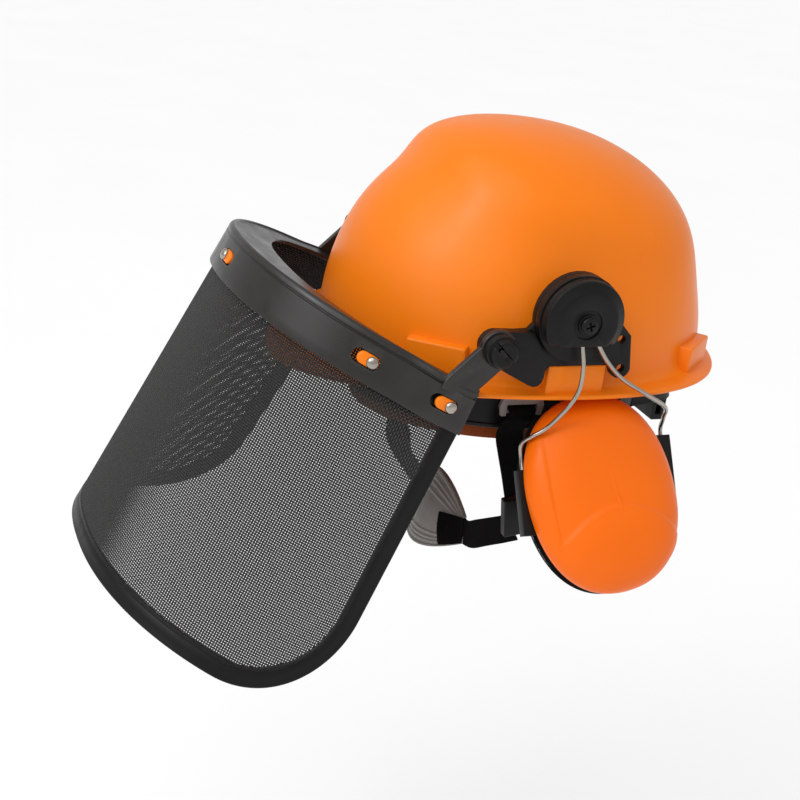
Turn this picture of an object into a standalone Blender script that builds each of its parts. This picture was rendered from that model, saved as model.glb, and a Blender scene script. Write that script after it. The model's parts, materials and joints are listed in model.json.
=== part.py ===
"""Forestry hard hat: shell and suspension, mesh visor, swing-out ear muffs and chin strap.

Metres, +Z up. The wearer faces -Y and the wearer's left is +X. The origin is the middle of the
head opening, level with the shell's brim.
"""

import math

import bmesh
import bpy
from mathutils import Matrix, Vector

MM = 0.001
GAP = 0.3 * MM  # clearance between pieces that touch

# Shell: an egg-shaped dome with a raised crown and a thin brim that grows into a peak.
SHELL_WALL = 2.6 * MM
DOME_HEIGHT = 113.7 * MM
DOME_HALF_WIDTH = 100 * MM
DOME_FRONT = 114.8 * MM
DOME_REAR = 124.1 * MM
DOME_CENTRE_Y = -2.4 * MM
APEX_Y = -13.4 * MM
CROWN_RISE = 13.6 * MM
CROWN_HALF_WIDTH = 73.6 * MM
CROWN_HALF_LENGTH = 77.5 * MM
CROWN_CENTRE_Y = 17.2 * MM
CROWN_EDGE = 0.225
BRIM_HALF_WIDTH = 112 * MM
BRIM_CENTRE_Y = 2 * MM
BRIM_FRONT = 153 * MM
BRIM_REAR = 125 * MM
PEAK_DROP = 12 * MM
NAPE_DROP = 3 * MM

# Headband: an oval band that hangs inside the shell.
BAND_HALF_WIDTH = 74 * MM
BAND_HALF_LENGTH = 97 * MM
BAND_TOP = -4 * MM
BAND_BOTTOM = -36 * MM
BAND_THICKNESS = 1.8 * MM
CRADLE_TOP = 92 * MM

# Accessory slot, adapter plate and ear-muff hub, all on each side of the shell.
SLOT_Y = -6.8 * MM
PLATE_INNER = 103 * MM
PLATE_OUTER = 107 * MM
HUB_Y = -13.5 * MM
HUB_Z = 45 * MM
HUB_RADIUS = 24.3 * MM
BOSS_OUTER = 110.5 * MM

# Muff arm: a bent spring wire that hinges on a cross bar in the hub cap.
WIRE_RADIUS = 1.25 * MM
BAR_X = 117 * MM
BAR_Y = -8.4 * MM
BAR_Z = 36.5 * MM
ARM_SPLAY = math.radians(32)

# Ear cup, in the arm's frame: outwards, rearwards and down the arm.
CUP_OUT = -46.7 * MM
CUP_BACK = 22.1 * MM
CUP_DOWN = 80.4 * MM
CUP_TILT = math.radians(10.7)
CUP_HALF_WIDTH = 46.5 * MM
CUP_HALF_HEIGHT = 56.5 * MM
CUP_SQUARENESS = 2.23
SLIDER_OUT = -50.2 * MM
SLIDER_SPREAD = 45.3 * MM
SLIDER_STAGGER = 7.9 * MM
SLIDER_DOWN = 75 * MM
SLIDER_LENGTH = 36.5 * MM

# Visor, in its own frame: the pivot is the origin and the mesh hangs straight down.
PIVOT_Y = -60 * MM
PIVOT_Z = 29.5 * MM
VISOR_RAISE = math.radians(25.7)
GUARD_HALF_WIDTH = 107 * MM
GUARD_DEPTH = 122.7 * MM
GUARD_SQUARENESS = 2.235
GUARD_END_Y = 9.9 * MM
GUARD_TOP = -24.8 * MM
GUARD_HEIGHT = 26 * MM
GUARD_WALL = 2.4 * MM
ROOF_HALF_WIDTH = 98 * MM
ROOF_DEPTH = 93 * MM
SCREEN_HEIGHT = 202.3 * MM
SCREEN_FLARE = 0.246
SCREEN_CORNER = 60 * MM
SCREEN_TOP = 4 * MM
TRIM_WIDTH = 11.5 * MM
LUG_INNER = 110.9 * MM
LUG_OUTER = 114.7 * MM
STUD_ANGLES = {"front": 90, "left_fore": 29.7, "left_rear": 7.7, "right_fore": 150.3, "right_rear": 172.3}
END_SWELL = 8.2 * MM
END_DRAFT = 2.6 * MM
END_CUT = 6.8 * MM
STUD_DROP = 14 * MM
STUD_SHIFT = 4.2 * MM
KEEPER_SHIFT = 1.4 * MM

# Chin strap.
CLIP_X = 88.9 * MM
CLIP_Y = -28 * MM
WEBBING_WIDTH = 17 * MM
WEBBING_THICKNESS = 1.5 * MM

SIDES = {"left": 1, "right": -1}


# ---------------------------------------------------------------- scene and materials


def clear_scene():
    for item in list(bpy.data.objects):
        bpy.data.objects.remove(item, do_unlink=True)


def new_collection(name):
    collection = bpy.data.collections.new(name)
    bpy.context.scene.collection.children.link(collection)
    return collection


def new_material(name, colour, roughness, metallic=0.0):
    material = bpy.data.materials.new(name)
    material.use_nodes = True
    shader = material.node_tree.nodes["Principled BSDF"]
    shader.inputs["Base Color"].default_value = (*colour, 1)
    shader.inputs["Roughness"].default_value = roughness
    shader.inputs["Metallic"].default_value = metallic
    material.diffuse_color = (*colour, 1)
    return material


clear_scene()
PARTS = new_collection("forestry_hard_hat")
CUTTERS = new_collection("cutters")

ORANGE = new_material("orange_shell", (0.9, 0.27, 0.02), 0.4)
CUP_ORANGE = new_material("orange_cup", (0.9, 0.22, 0.01), 0.45)
BLACK = new_material("black_plastic", (0.02, 0.02, 0.021), 0.45)
GLOSS_BLACK = new_material("gloss_black_plastic", (0.015, 0.015, 0.016), 0.28)
MESH_BLACK = new_material("woven_wire", (0.03, 0.03, 0.03), 0.5, 0.6)
STEEL = new_material("steel", (0.75, 0.74, 0.72), 0.25, 1.0)
CLIP_GREY = new_material("clip_plastic", (0.42, 0.42, 0.42), 0.35)
WEBBING = new_material("black_webbing", (0.02, 0.02, 0.02), 0.85)
LEATHERETTE = new_material("brow_leatherette", (0.45, 0.17, 0.04), 0.6)
CUSHION = new_material("cushion_vinyl", (0.03, 0.03, 0.03), 0.5)
FOAM = new_material("foam", (0.12, 0.12, 0.13), 0.95)


# ---------------------------------------------------------------- mesh helpers


def add_object(name, mesh, material, parent=None, collection=PARTS):
    item = bpy.data.objects.new(name, mesh)
    collection.objects.link(item)
    item.parent = parent
    if material:
        mesh.materials.append(material)
    return item


def add_empty(name, matrix, parent=None):
    empty = bpy.data.objects.new(name, None)
    PARTS.objects.link(empty)
    empty.parent = parent
    empty.matrix_local = matrix
    return empty


def finish_mesh(name, bm, smooth_angle=math.radians(35)):
    bmesh.ops.recalc_face_normals(bm, faces=bm.faces)
    mesh = bpy.data.meshes.new(name)
    bm.to_mesh(mesh)
    bm.free()
    mesh.shade_smooth()
    mesh.set_sharp_from_angle(angle=smooth_angle)
    return mesh


def loft(name, rings, round_rings=True, round_path=False, caps=True):
    """A skin through rings of points, each ring holding the same number of points."""
    bm = bmesh.new()
    rows = [[bm.verts.new(point) for point in ring] for ring in rings]
    count = len(rows[0])
    pairs = list(zip(rows, rows[1:]))
    if round_path:
        pairs.append((rows[-1], rows[0]))
    for low, high in pairs:
        for i in range(count if round_rings else count - 1):
            j = (i + 1) % count
            bm.faces.new((low[i], low[j], high[j], high[i]))
    if caps and not round_path:
        bm.faces.new(rows[0])
        bm.faces.new(list(reversed(rows[-1])))
    return finish_mesh(name, bm)


def ribbon_rings(points, across, width, thickness, normals):
    """Rectangular sections of a flat band along its path."""
    rings = []
    for point, side, normal in zip(points, across, normals):
        half = side * (width / 2)
        lift = normal * (thickness / 2)
        rings.append([point - half - lift, point + half - lift, point + half + lift, point - half + lift])
    return rings


def box_mesh(name, low, high):
    bm = bmesh.new()
    bmesh.ops.create_cube(bm, size=1)
    low, high = Vector(low), Vector(high)
    bmesh.ops.scale(bm, vec=high - low, verts=bm.verts)
    bmesh.ops.translate(bm, vec=(high + low) / 2, verts=bm.verts)
    return finish_mesh(name, bm)


def cylinder_mesh(name, radius, start, end, axis="X", centre=(0, 0), sides=24):
    """A cylinder along a world axis, from start to end, about a centre given in the other two axes."""
    bm = bmesh.new()
    bmesh.ops.create_cone(
        bm, cap_ends=True, segments=sides, radius1=radius, radius2=radius, depth=abs(end - start)
    )
    turn = {"X": Matrix.Rotation(math.pi / 2, 4, "Y"), "Y": Matrix.Rotation(math.pi / 2, 4, "X"), "Z": Matrix()}
    bmesh.ops.transform(bm, matrix=turn[axis], verts=bm.verts)
    middle = (start + end) / 2
    place = {
        "X": (middle, centre[0], centre[1]),
        "Y": (centre[0], middle, centre[1]),
        "Z": (centre[0], centre[1], middle),
    }
    bmesh.ops.translate(bm, vec=place[axis], verts=bm.verts)
    return finish_mesh(name, bm)


def outline_mesh(name, outline, start, end):
    """A flat outline in the Y-Z plane, thickened along X from start to end."""
    curve = bpy.data.curves.new(name, "CURVE")
    curve.dimensions = "2D"
    curve.fill_mode = "BOTH"
    curve.extrude = abs(end - start) / 2
    spline = curve.splines.new("POLY")
    spline.points.add(len(outline) - 1)
    for point, (y, z) in zip(spline.points, outline):
        point.co = (y, z, 0, 1)
    spline.use_cyclic_u = True
    item = add_object(name + "_outline", curve, None)
    graph = bpy.context.evaluated_depsgraph_get()
    mesh = bpy.data.meshes.new_from_object(item.evaluated_get(graph))
    bpy.data.objects.remove(item, do_unlink=True)
    bm = bmesh.new()
    bm.from_mesh(mesh)
    bmesh.ops.remove_doubles(bm, verts=bm.verts, dist=1e-6)
    to_side = Matrix(((0, 0, 1, (start + end) / 2), (1, 0, 0, 0), (0, 1, 0, 0), (0, 0, 0, 1)))
    bmesh.ops.transform(bm, matrix=to_side, verts=bm.verts)
    bpy.data.meshes.remove(mesh)
    return finish_mesh(name, bm)


def boolean(target, operation, mesh, label):
    """Joins a mesh to an object, or cuts it out, with a helper that stays hidden."""
    helper = add_object(f"{target.name}_{label}", mesh, None, target.parent, CUTTERS)
    helper.hide_render = True
    helper.display_type = "WIRE"
    modifier = target.modifiers.new(label, "BOOLEAN")
    modifier.operation = operation
    modifier.object = helper
    modifier.solver = "EXACT"
    return helper


def join(target, mesh, label):
    return boolean(target, "UNION", mesh, label)


def cut(target, mesh, label):
    return boolean(target, "DIFFERENCE", mesh, label)


def mirrored(mesh, side):
    """The mesh as it is for the left side, or reflected in X for the right side."""
    if side < 0:
        mesh.transform(Matrix.Scale(-1, 4, (1, 0, 0)))
        mesh.flip_normals()
    return mesh


def arc(centre, radius, start, end, steps):
    """Points on an arc, in degrees, ends included."""
    points = []
    for i in range(steps + 1):
        angle = math.radians(start + (end - start) * i / steps)
        points.append((centre[0] + radius * math.cos(angle), centre[1] + radius * math.sin(angle)))
    return points


def signed_power(value, exponent):
    return math.copysign(abs(value) ** exponent, value)


def superellipse(angle, half_x, half_y, squareness):
    power = 2 / squareness
    return (
        half_x * signed_power(math.cos(angle), power),
        half_y * signed_power(math.sin(angle), power),
    )


def smooth_path(points, steps):
    """A Catmull-Rom curve through the points, with several steps in each stretch."""
    points = [Vector(point) for point in points]
    ends = [points[0] * 2 - points[1], *points, points[-1] * 2 - points[-2]]
    path = []
    for a, b, c, d in zip(ends, ends[1:], ends[2:], ends[3:]):
        for i in range(steps):
            t = i / steps
            path.append(
                0.5 * (2 * b + (c - a) * t + (2 * a - 5 * b + 4 * c - d) * t * t + (3 * b - a - 3 * c + d) * t**3)
            )
    path.append(points[-1])
    return path


# ---------------------------------------------------------------- shell


def dome_point(angle, rise):
    """A point of the shell's outer face. rise runs from 0 at the brim to 1 at the apex."""
    radius = math.cos(rise * math.pi / 2) ** 0.858
    height = DOME_HEIGHT * math.sin(rise * math.pi / 2)
    length = DOME_REAR if math.sin(angle) > 0 else DOME_FRONT
    centre = DOME_CENTRE_Y + (APEX_Y - DOME_CENTRE_Y) * (height / DOME_HEIGHT) ** 2
    x = DOME_HALF_WIDTH * math.cos(angle) * radius
    y = length * math.sin(angle) * radius + centre
    reach = abs(x / CROWN_HALF_WIDTH) ** 3 + abs((y - CROWN_CENTRE_Y) / CROWN_HALF_LENGTH) ** 3
    raised = 1 / (1 + math.exp(min(30, (reach - 1) / CROWN_EDGE)))
    normal = Vector((x / DOME_HALF_WIDTH**2, (y - DOME_CENTRE_Y) / length**2, height / DOME_HEIGHT**2))
    return Vector((x, y, height)) + normal.normalized() * (CROWN_RISE * raised)


def brim_point(angle):
    """A point of the brim's outer edge."""
    if math.sin(angle) > 0:
        x, y = superellipse(angle, BRIM_HALF_WIDTH, BRIM_REAR, 2.3)
        return Vector((x, y + BRIM_CENTRE_Y, -NAPE_DROP * (y / BRIM_REAR) ** 2))
    x, y = superellipse(angle, BRIM_HALF_WIDTH, BRIM_FRONT, 1.9)
    return Vector((x, y + BRIM_CENTRE_Y, -PEAK_DROP * abs(y / BRIM_FRONT) ** 2.2))


def wall_frame(angle):
    """The wall's outer face at the brim, with its outward and sideways directions."""
    here = dome_point(angle, 0.06)
    ahead = dome_point(angle + 0.01, 0.06) - dome_point(angle - 0.01, 0.06)
    along = Vector((ahead.x, ahead.y, 0)).normalized()
    outward = Vector((along.y, -along.x, 0))
    return Vector((here.x, here.y, 0)), outward, along


def oriented_box(name, origin, outward, along, out_range, along_range, z_range):
    """A box whose sides follow the wall's outward and sideways directions."""
    mesh = box_mesh(
        name,
        (out_range[0], along_range[0], z_range[0]),
        (out_range[1], along_range[1], z_range[1]),
    )
    turn = Matrix((outward, along, Vector((0, 0, 1)))).transposed().to_4x4()
    mesh.transform(Matrix.Translation(origin) @ turn)
    return mesh


POCKET_ANGLES = {"front_left": -41, "front_right": 221, "rear_left": 47, "rear_right": 133}
POCKET_HALF_WIDTH = 17 * MM
KEY_HALF_WIDTH = 12.5 * MM


def pocket_top(place):
    return (20 if place.startswith("front") else 15) * MM


def build_shell():
    segments, levels = 56, 12
    angles = [2 * math.pi * i / segments for i in range(segments)]
    bm = bmesh.new()
    rows = [
        [bm.verts.new(brim_point(a)) for a in angles],
        [bm.verts.new(brim_point(a).lerp(dome_point(a, 0), 0.75) + Vector((0, 0, 1.2 * MM))) for a in angles],
    ]
    for level in range(levels):
        rise = 0.035 + 0.93 * level / (levels - 1)
        rows.append([bm.verts.new(dome_point(a, rise)) for a in angles])
    apex = bm.verts.new(dome_point(0, 1))
    for low, high in zip(rows, rows[1:]):
        for i in range(segments):
            j = (i + 1) % segments
            bm.faces.new((low[i], low[j], high[j], high[i]))
    for i in range(segments):
        bm.faces.new((rows[-1][i], rows[-1][(i + 1) % segments], apex))
    shell = add_object("shell", finish_mesh("shell", bm), ORANGE)
    wall = shell.modifiers.new("wall", "SOLIDIFY")
    wall.thickness = SHELL_WALL
    wall.offset = -1
    wall.use_even_offset = True
    for name, side in SIDES.items():
        stud = cylinder_mesh("clip_stud", 2.2 * MM, 86.6 * MM, 96 * MM, "X", (CLIP_Y, 5 * MM), 12)
        join(shell, mirrored(stud, side), f"clip_stud_{name}")
    for place, degrees in POCKET_ANGLES.items():
        frame = wall_frame(math.radians(degrees))
        top = pocket_top(place)
        half = POCKET_HALF_WIDTH
        block = oriented_box("pocket", *frame, (-5.4 * MM, 5.6 * MM), (-half, half), (-2.4 * MM, top))
        join(shell, block, f"pocket_{place}")
        slot = oriented_box(
            "slot",
            *frame,
            (-2.6 * MM, 3.0 * MM),
            (-KEY_HALF_WIDTH - GAP, KEY_HALF_WIDTH + GAP),
            (-12 * MM, top - 2.4 * MM),
        )
        cut(shell, slot, f"key_slot_{place}")
    for name, side in SIDES.items():
        low, high = SLOT_Y - 17.6 * MM, SLOT_Y + 17.6 * MM
        block = box_mesh("slot_block", (97 * MM, low, -2.1 * MM), (106.6 * MM, high, 16 * MM))
        join(shell, mirrored(block, side), f"slot_block_{name}")
        slot = box_mesh(
            "slot", (100.7 * MM, SLOT_Y - 14.9 * MM, 2 * MM), (104.9 * MM, SLOT_Y + 14.9 * MM, 20 * MM)
        )
        cut(shell, mirrored(slot, side), f"accessory_slot_{name}")
    return shell


# ---------------------------------------------------------------- suspension


def band_point(angle, offset=0.0):
    return Vector(
        ((BAND_HALF_WIDTH + offset) * math.cos(angle), (BAND_HALF_LENGTH + offset) * math.sin(angle), 0)
    )


def band_rings(start, end, steps, low, high, offset, thickness):
    """Sections of an upright band that follows the head, between two angles in degrees."""
    rings = []
    for i in range(steps + 1):
        angle = math.radians(start + (end - start) * i / steps)
        outer = band_point(angle, offset + thickness / 2)
        inner = band_point(angle, offset - thickness / 2)
        bottom, top = low(angle), high(angle)
        rings.append(
            [
                Vector((inner.x, inner.y, bottom)),
                Vector((outer.x, outer.y, bottom)),
                Vector((outer.x, outer.y, top)),
                Vector((inner.x, inner.y, top)),
            ]
        )
    return rings


def build_headband():
    rings = band_rings(
        -220, 40, 44, lambda a: BAND_BOTTOM, lambda a: BAND_TOP, 0, BAND_THICKNESS
    )
    add_object("headband", loft("headband", rings), BLACK)


def build_sweatband():
    inset = -(BAND_THICKNESS / 2 + GAP + 1.3 * MM)
    rings = band_rings(-190, 10, 36, lambda a: BAND_BOTTOM - 8 * MM, lambda a: BAND_TOP - 9 * MM, inset, 2.6 * MM)
    add_object("sweatband", loft("sweatband", rings), LEATHERETTE)


def key_inner_face(place):
    """Where a hanger key meets the headband, with the wall's frame there."""
    angle = math.radians(POCKET_ANGLES[place])
    origin, outward, along = wall_frame(angle)
    reach = 60 * MM
    step = 0.25 * MM
    while True:
        point = origin - outward * reach
        inside = (point.x / (BAND_HALF_WIDTH + 1.5 * MM)) ** 2 + (point.y / (BAND_HALF_LENGTH + 1.5 * MM)) ** 2
        if inside >= 1:
            return reach, origin, outward, along
        reach -= step


def build_hanger_keys():
    for place in POCKET_ANGLES:
        reach, origin, outward, along = key_inner_face(place)
        half = KEY_HALF_WIDTH
        frame = (origin, outward, along)
        blade = oriented_box(
            "blade", *frame, (-2.1 * MM, 2.5 * MM), (-half, half), (-9 * MM, pocket_top(place) - 3 * MM)
        )
        key = add_object(f"hanger_key_{place}", blade, BLACK)
        arm = oriented_box("arm", *frame, (-reach, 0), (-7 * MM, 7 * MM), (-9 * MM, -5 * MM))
        join(key, arm, "arm")
        plate = oriented_box("plate", *frame, (-reach, -reach + 2.6 * MM), (-11 * MM, 11 * MM), (-16 * MM, 6 * MM))
        join(key, plate, "plate")


def build_crown_straps():
    pairs = {"crown_strap_a": ("front_left", "rear_right", 0), "crown_strap_b": ("front_right", "rear_left", 2.2 * MM)}
    for name, (first, last, drop) in pairs.items():
        ends = []
        for place in (first, last):
            reach, origin, outward, along = key_inner_face(place)
            ends.append(origin - outward * (reach - 1.3 * MM))
        centre = Vector((0, (ends[0].y + ends[1].y) / 2, 0))
        base = 6.4 * MM
        points = []
        steps = 22
        for i in range(steps + 1):
            turn = math.pi * i / steps
            end = ends[0] if turn <= math.pi / 2 else ends[1]
            level = centre.lerp(end, abs(math.cos(turn)) ** 0.9)
            points.append(Vector((level.x, level.y, base + (CRADLE_TOP - drop - base) * math.sin(turn) ** 0.9)))
        run = (ends[1] - ends[0]).normalized()
        side = Vector((-run.y, run.x, 0))
        normals = []
        for i in range(len(points)):
            ahead = points[min(i + 1, steps)] - points[max(i - 1, 0)]
            normals.append(ahead.normalized().cross(side).normalized())
        rings = ribbon_rings(points, [side] * len(points), 19 * MM, 1.5 * MM, normals)
        add_object(name, loft(name, rings), WEBBING)


NAPE_Y = 98 * MM
NAPE_Z = -35 * MM


NAPE_ROUTE = [(54.6, 61), (53.0, 72), (50.8, 83.5), (47.6, 92), (44.6, 96.2), (41.4, 98), (36, 98), (26, 98)]


def build_nape_straps():
    """Two toothed tails that overlap in the ratchet housing, one above the pinion and one below."""
    for name, side in SIDES.items():
        lift = 7.4 * MM * side
        start = [band_point(math.radians(14 + 8 * i), -2.1 * MM) for i in range(4)]
        level = [(point.x, point.y) for point in start]
        level += [(x * MM, y * MM) for x, y in NAPE_ROUTE]
        path = smooth_path([(x, y, 0) for x, y in level], 2)
        points, heights = [], []
        for i, point in enumerate(path):
            share = i / (len(path) - 1)
            points.append(Vector((point.x, point.y, -26 * MM + (NAPE_Z + lift + 26 * MM) * min(1, share * 1.4))))
            heights.append(18 * MM + (8 * MM - 18 * MM) * min(1, share * 1.4))
        points.append(Vector((-20 * MM, NAPE_Y, NAPE_Z + lift)))
        heights.append(8 * MM)
        rings = []
        for i, (point, height) in enumerate(zip(points, heights)):
            ahead = points[min(i + 1, len(points) - 1)] - points[max(i - 1, 0)]
            out = Vector((ahead.y, -ahead.x, 0)).normalized() * (0.9 * MM)
            up = Vector((0, 0, height / 2))
            rings.append([point - out - up, point + out - up, point + out + up, point - out + up])
        mesh = loft(f"nape_strap_{name}", rings)
        add_object(f"nape_strap_{name}", mirrored(mesh, side), BLACK)


def build_ratchet():
    housing = add_object(
        "ratchet_housing",
        box_mesh("ratchet_housing", (-35 * MM, NAPE_Y - 4 * MM, NAPE_Z - 17 * MM), (35 * MM, NAPE_Y + 5 * MM, NAPE_Z + 17 * MM)),
        BLACK,
    )
    channel = box_mesh("channel", (-40 * MM, NAPE_Y - 1.6 * MM, NAPE_Z - 13 * MM), (40 * MM, NAPE_Y + 1.9 * MM, NAPE_Z + 13 * MM))
    cut(housing, channel, "channel")
    hole = cylinder_mesh("hole", 3.6 * MM, NAPE_Y, NAPE_Y + 8 * MM, "Y", (0, NAPE_Z), 20)
    cut(housing, hole, "shaft_hole")
    knob = add_object(
        "ratchet_knob",
        cylinder_mesh("ratchet_knob", 16 * MM, NAPE_Y + 5.3 * MM, NAPE_Y + 16 * MM, "Y", (0, NAPE_Z), 28),
        BLACK,
    )
    shaft = cylinder_mesh("shaft", 3.1 * MM, NAPE_Y - 1.3 * MM, NAPE_Y + 8 * MM, "Y", (0, NAPE_Z), 16)
    join(knob, shaft, "pinion_shaft")


# ---------------------------------------------------------------- adapters and ear muffs


def adapter_outline():
    pivot = (PIVOT_Y, PIVOT_Z)
    points = [(SLOT_Y - 17.6 * MM, 16.3 * MM), (SLOT_Y + 18.1 * MM, 16.3 * MM)]
    points += arc((19.6 * MM, 14.4 * MM), 6.4 * MM, 190, 350, 8)
    points += [(22.8 * MM, 33 * MM), (15 * MM, 41 * MM)]
    points += arc((HUB_Y, HUB_Z), HUB_RADIUS, 0, 190, 18)
    points += [(-40.5 * MM, 37.4 * MM)]
    points += arc(pivot, 7 * MM, 80, 280, 12)
    points += [(-52.4 * MM, 14.2 * MM), (-37.5 * MM, 6.4 * MM), (-34.4 * MM, 5.4 * MM), (-31.6 * MM, 5.8 * MM)]
    points += [(-29.4 * MM, 7.8 * MM), (-28.2 * MM, 11.4 * MM)]
    return points


def boss_outline():
    pivot = (PIVOT_Y, PIVOT_Z)
    points = [(-38.6 * MM, 37 * MM)]
    points += arc(pivot, 8.5 * MM, 80, 280, 12)
    points += [(-52.2 * MM, 14.6 * MM), (-37.4 * MM, 6.8 * MM), (-34.4 * MM, 5.8 * MM), (-31.8 * MM, 6.2 * MM)]
    points += [(-29.8 * MM, 8.1 * MM), (-28.7 * MM, 11.6 * MM), (-28.7 * MM, 23 * MM), (-33 * MM, 28 * MM)]
    return points


def build_adapter(name, side):
    plate = add_object(
        f"adapter_plate_{name}",
        mirrored(outline_mesh("adapter_plate", adapter_outline(), PLATE_INNER, PLATE_OUTER), side),
        BLACK,
    )
    boss = outline_mesh("boss", boss_outline(), PLATE_INNER + 1 * MM, BOSS_OUTER)
    join(plate, mirrored(boss, side), "pivot_boss")
    tongue = box_mesh(
        "tongue", (101.1 * MM, SLOT_Y - 14.4 * MM, 3 * MM), (104.5 * MM, SLOT_Y + 14.4 * MM, 18 * MM)
    )
    join(plate, mirrored(tongue, side), "slot_tongue")
    holes = {
        "pivot_hole": (PIVOT_Y, PIVOT_Z, 3.3),
        "hub_hole": (HUB_Y, HUB_Z, 2.6),
        "upper_hole": (17.2 * MM, 31 * MM, 2.4),
        "lower_hole": (19.6 * MM, 14 * MM, 2.4),
    }
    for label, (y, z, radius) in holes.items():
        hole = cylinder_mesh("hole", radius * MM, 95 * MM, 116 * MM, "X", (y, z), 16)
        cut(plate, mirrored(hole, side), label)


def hub_outline(radius, chord):
    """A disc with its lower edge cut straight across, chord below the centre."""
    reach = math.degrees(math.asin(chord / radius))
    return arc((HUB_Y, HUB_Z), radius, -reach, 180 + reach, 26)


def build_hub(name, side):
    base = add_object(
        f"hub_base_{name}",
        mirrored(
            cylinder_mesh("hub_base", HUB_RADIUS, PLATE_OUTER + GAP, 112 * MM, "X", (HUB_Y, HUB_Z), 32), side
        ),
        BLACK,
    )
    clearance = outline_mesh("clearance", boss_outline(), PLATE_OUTER - 1 * MM, 116 * MM)
    clearance.transform(Matrix.Translation((0, 0.6 * MM, 0.4 * MM)))
    cut(base, mirrored(clearance, side), "boss_clearance")
    hole = cylinder_mesh("hole", 2.6 * MM, 100 * MM, 116 * MM, "X", (HUB_Y, HUB_Z), 16)
    cut(base, mirrored(hole, side), "screw_hole")

    inner = outline_mesh("hub_cap", hub_outline(23.4 * MM, 12.6 * MM), 112.3 * MM, 118.5 * MM)
    cap = add_object(f"hub_cap_{name}", mirrored(inner, side), BLACK)
    face = outline_mesh("face", hub_outline(20.4 * MM, 12.4 * MM), 118 * MM, 121.6 * MM)
    join(cap, mirrored(face, side), "face")
    hole = cylinder_mesh("hole", 2.6 * MM, 108 * MM, 126 * MM, "X", (HUB_Y, HUB_Z), 16)
    cut(cap, mirrored(hole, side), "screw_hole")
    notch = box_mesh(
        "notch", (113.7 * MM, BAR_Y - 7 * MM, BAR_Z - 8 * MM), (120.4 * MM, BAR_Y + 7 * MM, BAR_Z + 3 * MM)
    )
    cut(cap, mirrored(notch, side), "wire_notch")

    head = cylinder_mesh("hub_screw", 4.9 * MM, 121.9 * MM, 124.4 * MM, "X", (HUB_Y, HUB_Z), 20)
    screw = add_object(f"hub_screw_{name}", mirrored(head, side), BLACK)
    shank = cylinder_mesh("shank", 2.2 * MM, 103.4 * MM, 122.4 * MM, "X", (HUB_Y, HUB_Z), 12)
    join(screw, mirrored(shank, side), "shank")


def arm_matrix():
    """The muff arm's frame: X outwards, Y rearwards and Z up the arm, with the cross bar at the origin."""
    turn = Matrix.Rotation(-ARM_SPLAY, 4, "Y")
    return Matrix.Translation((BAR_X, BAR_Y, BAR_Z)) @ turn


WIRE_ROUTE = [
    (-50.2, -23.2, -92),
    (-50.2, -23.2, -76),
    (-50.2, -23.2, -59),
    (-46, -24.2, -50.5),
    (-39, -21, -47.4),
    (-32.5, -14.3, -43.6),
    (-22.2, -6.1, -34.5),
    (-17, -1.8, -27.2),
    (-12.9, -0.8, -20.6),
    (-7.8, -1.6, -12.5),
    (-2.8, -3.9, -4.6),
    (-0.5, -3.4, -0.4),
    (0, -1.6, 0),
    (0, 1.6, 0),
    (-0.5, 3.6, -0.6),
    (-2.9, 6.4, -4.9),
    (-8.2, 13.8, -12.8),
    (-14.4, 25.4, -21.1),
    (-21.5, 42, -27.9),
    (-33, 61.5, -34.5),
    (-42, 65.5, -39.5),
    (-50.2, 67.4, -46),
    (-50.2, 67.4, -60),
    (-50.2, 67.4, -76),
]


def build_wire(name, side):
    """The spring wire: front leg, cross bar and rear leg in one piece."""
    path = smooth_path([Vector(point) * MM for point in WIRE_ROUTE], 3)
    curve = bpy.data.curves.new(f"muff_wire_{name}", "CURVE")
    curve.dimensions = "3D"
    curve.bevel_depth = WIRE_RADIUS
    curve.bevel_resolution = 2
    curve.use_fill_caps = True
    spline = curve.splines.new("POLY")
    spline.points.add(len(path) - 1)
    place = arm_matrix()
    for point, target in zip(spline.points, path):
        world = place @ target
        point.co = (side * world.x, world.y, world.z, 1)
    item = add_object(f"muff_wire_{name}", curve, STEEL)
    return item


def cup_frame():
    """The cup's frame, in the arm's: X outwards, Y rearwards and Z up the cup, which leans forward."""
    return Matrix.Translation((CUP_OUT, CUP_BACK, -CUP_DOWN)) @ Matrix.Rotation(CUP_TILT, 4, "X")


def cup_ring(out, half_width, half_height, count=36):
    ring = []
    for i in range(count):
        y, z = superellipse(2 * math.pi * i / count, half_width, half_height, CUP_SQUARENESS)
        ring.append(Vector((out, y, z)))
    return ring


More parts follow.
